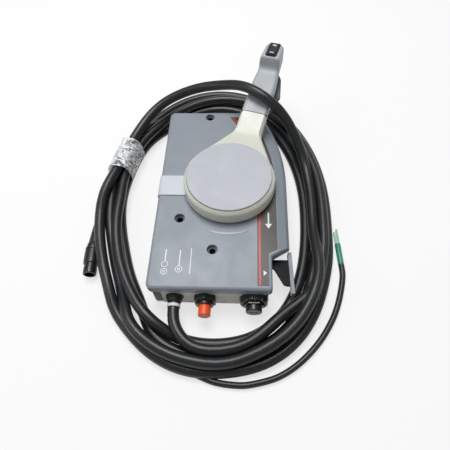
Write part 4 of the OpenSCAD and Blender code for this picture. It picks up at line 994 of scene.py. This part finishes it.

# %% [markdown]
# ## The fast-idle lever
# A flat web comes out of the case's step and ends in a thumb plate that stands on edge. The plate
# is part of the same black moulding, painted pale grey as a painted highlight for the light on it.

# %% The fast-idle lever
def thumb(d, n=0.0):
    """A point of the thumb plate's middle line, d along it and n to its outer side."""
    a = math.radians(-87.6)
    return (X_BULGE + d * math.cos(a) - n * math.sin(a), Y_STEP + 10.7 + d * math.sin(a) + n * math.cos(a))


WEB_LOW, WEB_TOP, BORE = 24.2, 27.2, 3.06
web = rounded([(33, -75), (50, -85.9), thumb(6.5), thumb(36), (60, -115), (50, -96.6), (33, -85.8)],
              [1, 4, 2, 2, 6, 4, 1], 6)
blade = rounded([thumb(0, -1.9), thumb(47, -1.9), thumb(47, 2.1), thumb(0, 2.1)], [0.6, 1.4, 1.4, 0.6], 5)
rim = rounded([(50, -96.6), (51.2, -97.5), (61, -115.2), (59.6, -115.6)], [0.5] * 4, 3)
piece("idle_web", plate(web, WEB_LOW, WEB_TOP), "idle", "idle_plastic", ["idle_lever"], bevel=0.4,
      cuts=[moved(rod(BORE, 20, 30, 32), *IDLE_PIVOT)],
      extra=[plate(rim, 26.6, 28.7), moved(hoop(BORE, 6.5, WEB_LOW, WEB_TOP + 2, 40), *IDLE_PIVOT)])
piece("idle_thumb_plate", plate(blade, WEB_LOW, WEB_TOP + 5.5), "idle", "idle_plastic", bevel=0.5,
      finish_name="idle_painted_highlight")

# %% [markdown]
# ## The rear end
# A notched nut with a hexagon ring and the key's round cap, a hexagon nut with the red stop
# button, and the gland with its band sit side by side on the rear plate.

# %% Switches, nuts and the gland
def joined(solids):
    """Several solids as one: each one's corner numbers are raised by the points before it."""
    points, faces = np.zeros((0, 3)), []
    for corners, quads in solids:
        faces += [[v + len(points) for v in quad] for quad in quads]
        points = np.concatenate([points, np.reshape(corners, (-1, 3))])
    return points, faces


def rear_piece(name, spot, solid, body, slot, stands_for, cuts=(), **more):
    """A piece drawn along +Z, set on the rear plate at spot; heights count outwards from the plate."""
    solid, *cuts = (rearward(part, spot[0], PLATE_Y, spot[1]) for part in (solid, *cuts))
    return piece(name, solid, body, slot, [stands_for], cuts=cuts, **more)


def hexagon(radius, low, high, turn=0.0):
    """A six-sided plate between two heights; radius is measured to the corners."""
    a = np.radians(np.arange(6) * 60 + turn)
    return plate(on_circle(radius, a), low, high)


nut = lathe([(11.05, 0), (15, 0), (15, 2.1), (14.6, 2.5), (14.2, 2.7), (14.2, 6.1), (13.8, 6.6),
             (13.2, 6.7), (11.6, 6.7), (11.05, 6.2)], 96, True)
notches = [moved(rod(1.6, 2.6, 9, 16), x, y, 0) for x, y in on_circle(15, np.radians(np.arange(12) * 30))]
cap = lathe([(0, -5.7), (5, -5.7), (5, 9.2), (8.1, 9.2), (8.5, 9.6), (8.5, 14.4), (8.2, 15.0),
             (7.6, 15.2), (0, 15.2)], 72)
key_slot = box_solid(-4.5, 4.5, -0.9, 0.9, 12.2, 18, 0.3)
button = lathe([(0, 7.2), (4.5, 7.2), (4.5, 4.2), (6.5, 4.2), (6.5, 19.6), (6.35, 20.2), (5.9, 20.55),
                (5.2, 20.6), (4.4, 20.3), (0, 20.1)], 72)
gland = lathe([(4.15, -15.5), (8, -15.5), (8, 0), (9.2, 0), (9.2, 2.0), (8.8, 2.5), (8.6, 2.6),
               (8.5, 3.4), (8.1, 3.5), (8.1, 4.1), (8.2, 4.2), (7.9, 5.0), (7.6, 5.1), (7.5, 5.8),
               (7.6, 5.9), (7.1, 7.2), (6.7, 7.5), (4.15, 7.5)], 72, True)
band = lathe([(6.18, 9.4), (6.7, 9.4), (6.85, 9.7), (6.85, 12.3), (6.7, 12.6), (6.18, 12.6)], 72, True)
rear_piece("key_nut", KEY, nut, "box", "ring_nut_black", "key_ring_nut", [joined(notches)])
rear_piece("key_hexagon", KEY, hexagon(11.4, 7.0, 8.9), "box", "hex_metal", "key_hex_ring",
           [rod(5.6, 5, 12, 32)], bevel=0.35)
rear_piece("key_round_cap", KEY, cap, "key", "switch_black", "key_cap", [key_slot])
rear_piece("stop_hexagon", STOP, hexagon(12.7, 0.0, 6.5, 30), "box", "ring_nut_black", "stop_nut",
           [rod(9.05, -2, 9)], bevel=0.7)
rear_piece("stop_red_button", STOP, button, "stop", "stop_red", "stop_button")
rear_piece("cable_gland_body", GLAND, gland, "box", "black_shell", "cable_gland")
rear_piece("white_band", GLAND, band, "box", "band_white", "cable_band")

# %% [markdown]
# ## What lies on the harness
# Clear film holds the laps together at the left. It is a double-walled sleeve with crinkles, a
# sum of waves round and along it. The connector at the far end lies against the coil. The branch
# lead ends in a soft sleeve with two bare leads.

# %% Film, connector, sleeve and bare leads
def film_sleeve(rows=90, cols=110):
    """A sleeve round the stacked laps: |y/a|^2.6 + |z/b|^2.6 = 1, moved in and out by crossed waves.

    It runs along the wrap's oval from 169.5 degrees back to 155.
    """
    t = np.linspace(0, 1, rows)
    phi = np.radians(169.5 - 14.5 * t)
    middle = on_track("wrap", phi)
    way = unit(np.gradient(middle, axis=0))
    side = np.stack([way[:, 1], -way[:, 0], 0 * t], -1)[:, None]
    a = np.linspace(0, 2 * np.pi, cols, endpoint=False)[None]
    power = (np.abs(np.cos(a)) ** 2.6 + np.abs(np.sin(a)) ** 2.6) ** (-1 / 2.6)
    t = t[:, None]
    wave = (np.sin(9 * a + 14 * t + 2 * np.sin(11 * t)) * np.sin(23 * t + 3 * np.sin(2 * a))
            + 0.7 * np.sin(17 * a - 31 * t) * np.sin(41 * t + 5 * np.sin(3 * a))
            + 0.5 * np.abs(np.sin(5 * a + 37 * t)))
    flare = 1.6 * np.clip((t - 0.82) / 0.18, 0, 1) ** 2 + 0.8 * np.clip((0.12 - t) / 0.12, 0, 1) ** 2
    walls = []
    for skin in (0.35, 0.0):
        out = power * np.cos(a) * (13.2 + skin + 0.5 * wave + flare)
        up = np.maximum(18.7 + power * np.sin(a) * (18.3 + skin + 0.45 * wave + flare), 0.4 - skin)
        walls.append(middle[:, None] * (1, 1, 0) + side * out[..., None] + up[..., None] * (0, 0, 1))
    points = np.concatenate([walls[0], walls[1][::-1], walls[0][:1]])
    return points, grid_faces(len(points), cols)


def at_coil_end(solid):
    """A solid drawn along +Z, laid along the harness's last stretch."""
    points, faces = rearward(solid, 0, 0, 0)
    return turned(points, math.radians(4)) + (-156.4, -61, 8.8), faces


def at_branch_end(solid):
    """A solid drawn along +Z, laid along the branch lead's last stretch."""
    return turned(solid[0][..., [0, 2, 1]], math.atan2(0.4, 8.0)) + BRANCH[-1], solid[1]


def bare_lead(side):
    """One of the two bare leads: side is -1 or 1, and the second one is 4 mm longer."""
    profile = [(0, 25), (1.3, 25), (1.3, 43.4 + 2 * side), (1.0, 44 + 2 * side), (0, 44 + 2 * side)]
    return at_branch_end(moved(lathe(profile, 20), 1.6 * side, 0, 0))


film = piece("film_wrap", film_sleeve(), "box", "film_clear", ["bundle_film"], 70)
plug = lathe([(0, -1), (6.3, -1), (7.4, 0.6), (7.4, 5), (8.6, 5.6), (8.6, 8), (8.1, 8.2), (8.1, 9.8),
              (8.6, 10), (8.6, 24.6), (8.2, 25.6), (7.2, 26), (7.2, 30), (7.4, 30.2), (7.4, 37.2),
              (7.0, 38), (5.6, 38), (5.6, 32), (0, 32)], 48)
rib, rib_faces = box_solid(7.9, 8.75, -0.9, 0.9, 11, 23.5, 0.2)
piece("connector_shell", at_coil_end(plug), "box", "switch_black", ["harness_connector"], 40,
      extra=[at_coil_end((turned(rib, math.radians(30 + 60 * k)), rib_faces)) for k in range(6)])
sleeve = lathe([(0, -0.6), (3.0, -0.6), (3.3, 0), (3.3, 25.4), (3.05, 26), (0, 26)], 32)
piece("green_sleeve", at_branch_end(sleeve), "box", "sleeve_green", ["branch_sleeve"])
piece("bare_leads", bare_lead(1), "box", "lead_pale", ["branch_ends"], extra=[bare_lead(-1)])
print("film:", len(film.data.polygons), "faces")

# %% [markdown]
# ## Printed marks and grooves
# The face carries plain printed marks: an arrow on the strip, a small triangle near its rear end
# and signs of a ring and a bar. They stand 0.06 mm proud, like thick print. A shallow moulded
# ridge runs under the hub; it is painted paler than the face as a painted highlight. A black
# block with no sheen parts the grip from the arm and paints the shade in the groove between them.

# %% Marks on the face, the ridge under the hub and the groove at the grip
SUNK, PROUD = 0.2, 0.06


def disc_mark(x, y, inner, outer):
    """A printed ring between two radii."""
    return moved(hoop(inner, outer, FACE_Z - SUNK, FACE_Z + PROUD, 40), x, y, 0)


def bar_mark(x, y, width, length):
    """A printed bar that starts at x, y and runs towards the front."""
    w = width / 2
    outline = rounded([(-w, 0), (w, 0), (w, length), (-w, length)], [width * 0.3] * 4, 3)
    return moved(plate(outline, FACE_Z - SUNK, FACE_Z + PROUD), x, y, 0)


def mark_piece(name, solid, extra=()):
    """A printed piece in white."""
    piece(name, solid, "box", "pale_trim", finish_name="mark_white", extra=extra)


arrow = np.array([(43.1, -36), (44.7, -36), (44.7, -50.5), (47.6, -50.5), (43.9, -56.5), (40.2, -50.5),
                  (43.1, -50.5)])
triangle = np.array([(37.9, -106), (37.9, -112), (41.4, -109)])
for name, outline in (("strip_arrow", arrow), ("strip_triangle", triangle)):
    mark_piece(name, plate(outline, STRIP_Z - 0.3, STRIP_Z + PROUD))
mark_piece("face_signs", disc_mark(-48.5, -106.5, 3.2, 3.8), [
    disc_mark(-63.5, -109.5, 2.9, 3.5), disc_mark(-63.5, -109.5, 0.7, 1.3),
    disc_mark(-63.5, -101.0, 2.9, 3.5), bar_mark(-63.5, -97.8, 1.1, 14),
    disc_mark(-48.5, -106.5, 0.8, 1.5), bar_mark(-48.5, -102.6, 1.1, 18),
    bar_mark(-37.0, -112.0, 0.8, 30)])
RIDGE_R = 66
bow = np.radians(np.linspace(250, 290, 21))
line = on_circle(RIDGE_R, bow) + (0, 2.5)
width = 1.5 * np.sin(np.linspace(0.12, np.pi - 0.12, 21))[:, None]
ridge = np.vstack([line * (1 + width / RIDGE_R), (line * (1 - width / RIDGE_R))[::-1]])
# The ridge is painted paler than the face, as a painted highlight.
piece("face_ridge", plate(ridge, FACE_Z - 0.3, FACE_Z + 0.4), "box", "cover_paint", bevel=0.35,
      finish_name="ridge_painted_highlight")

# A black block with no sheen fills the gap between the arm and the grip: painted shade for the groove.
gap_top, gap_low = lever_top(ARM_L) - 0.5, lever_bottom(ARM_L) + 0.6
lever_piece("grip_joint", box_solid(ARM_L - 0.6, ARM_L + 0.7, -15.7, 15.7, gap_low, gap_top), "lever",
            "black_shell", finish_name="groove_painted_shade")

# %% [markdown]

# %% [markdown]
# ## The solids that stay
# Every CAD solid that is still shown takes the finish of its slot, except the mount sleeves:
# they take a steel finish darkened to paint the shade down in the counterbores.

# %% Finish the CAD solids
for name, node in nodes.items():
    for place in node.material_slots:
        own = place.material.name.split(".")[0]
        if own in FINISH:
            # The mount sleeves take steel darkened as painted shade for the counterbores round them.
            place.material = FINISH["sleeve_painted_shade" if name == "mount_sleeves" else own]

# %% Sizes of the CAD box and of the dressed control
low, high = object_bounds()
grown = [round(1000 * g, 1) for g in (*(cad_low - low), *(high - cad_high))]
print("dressed box past the CAD box, in mm:", grown)
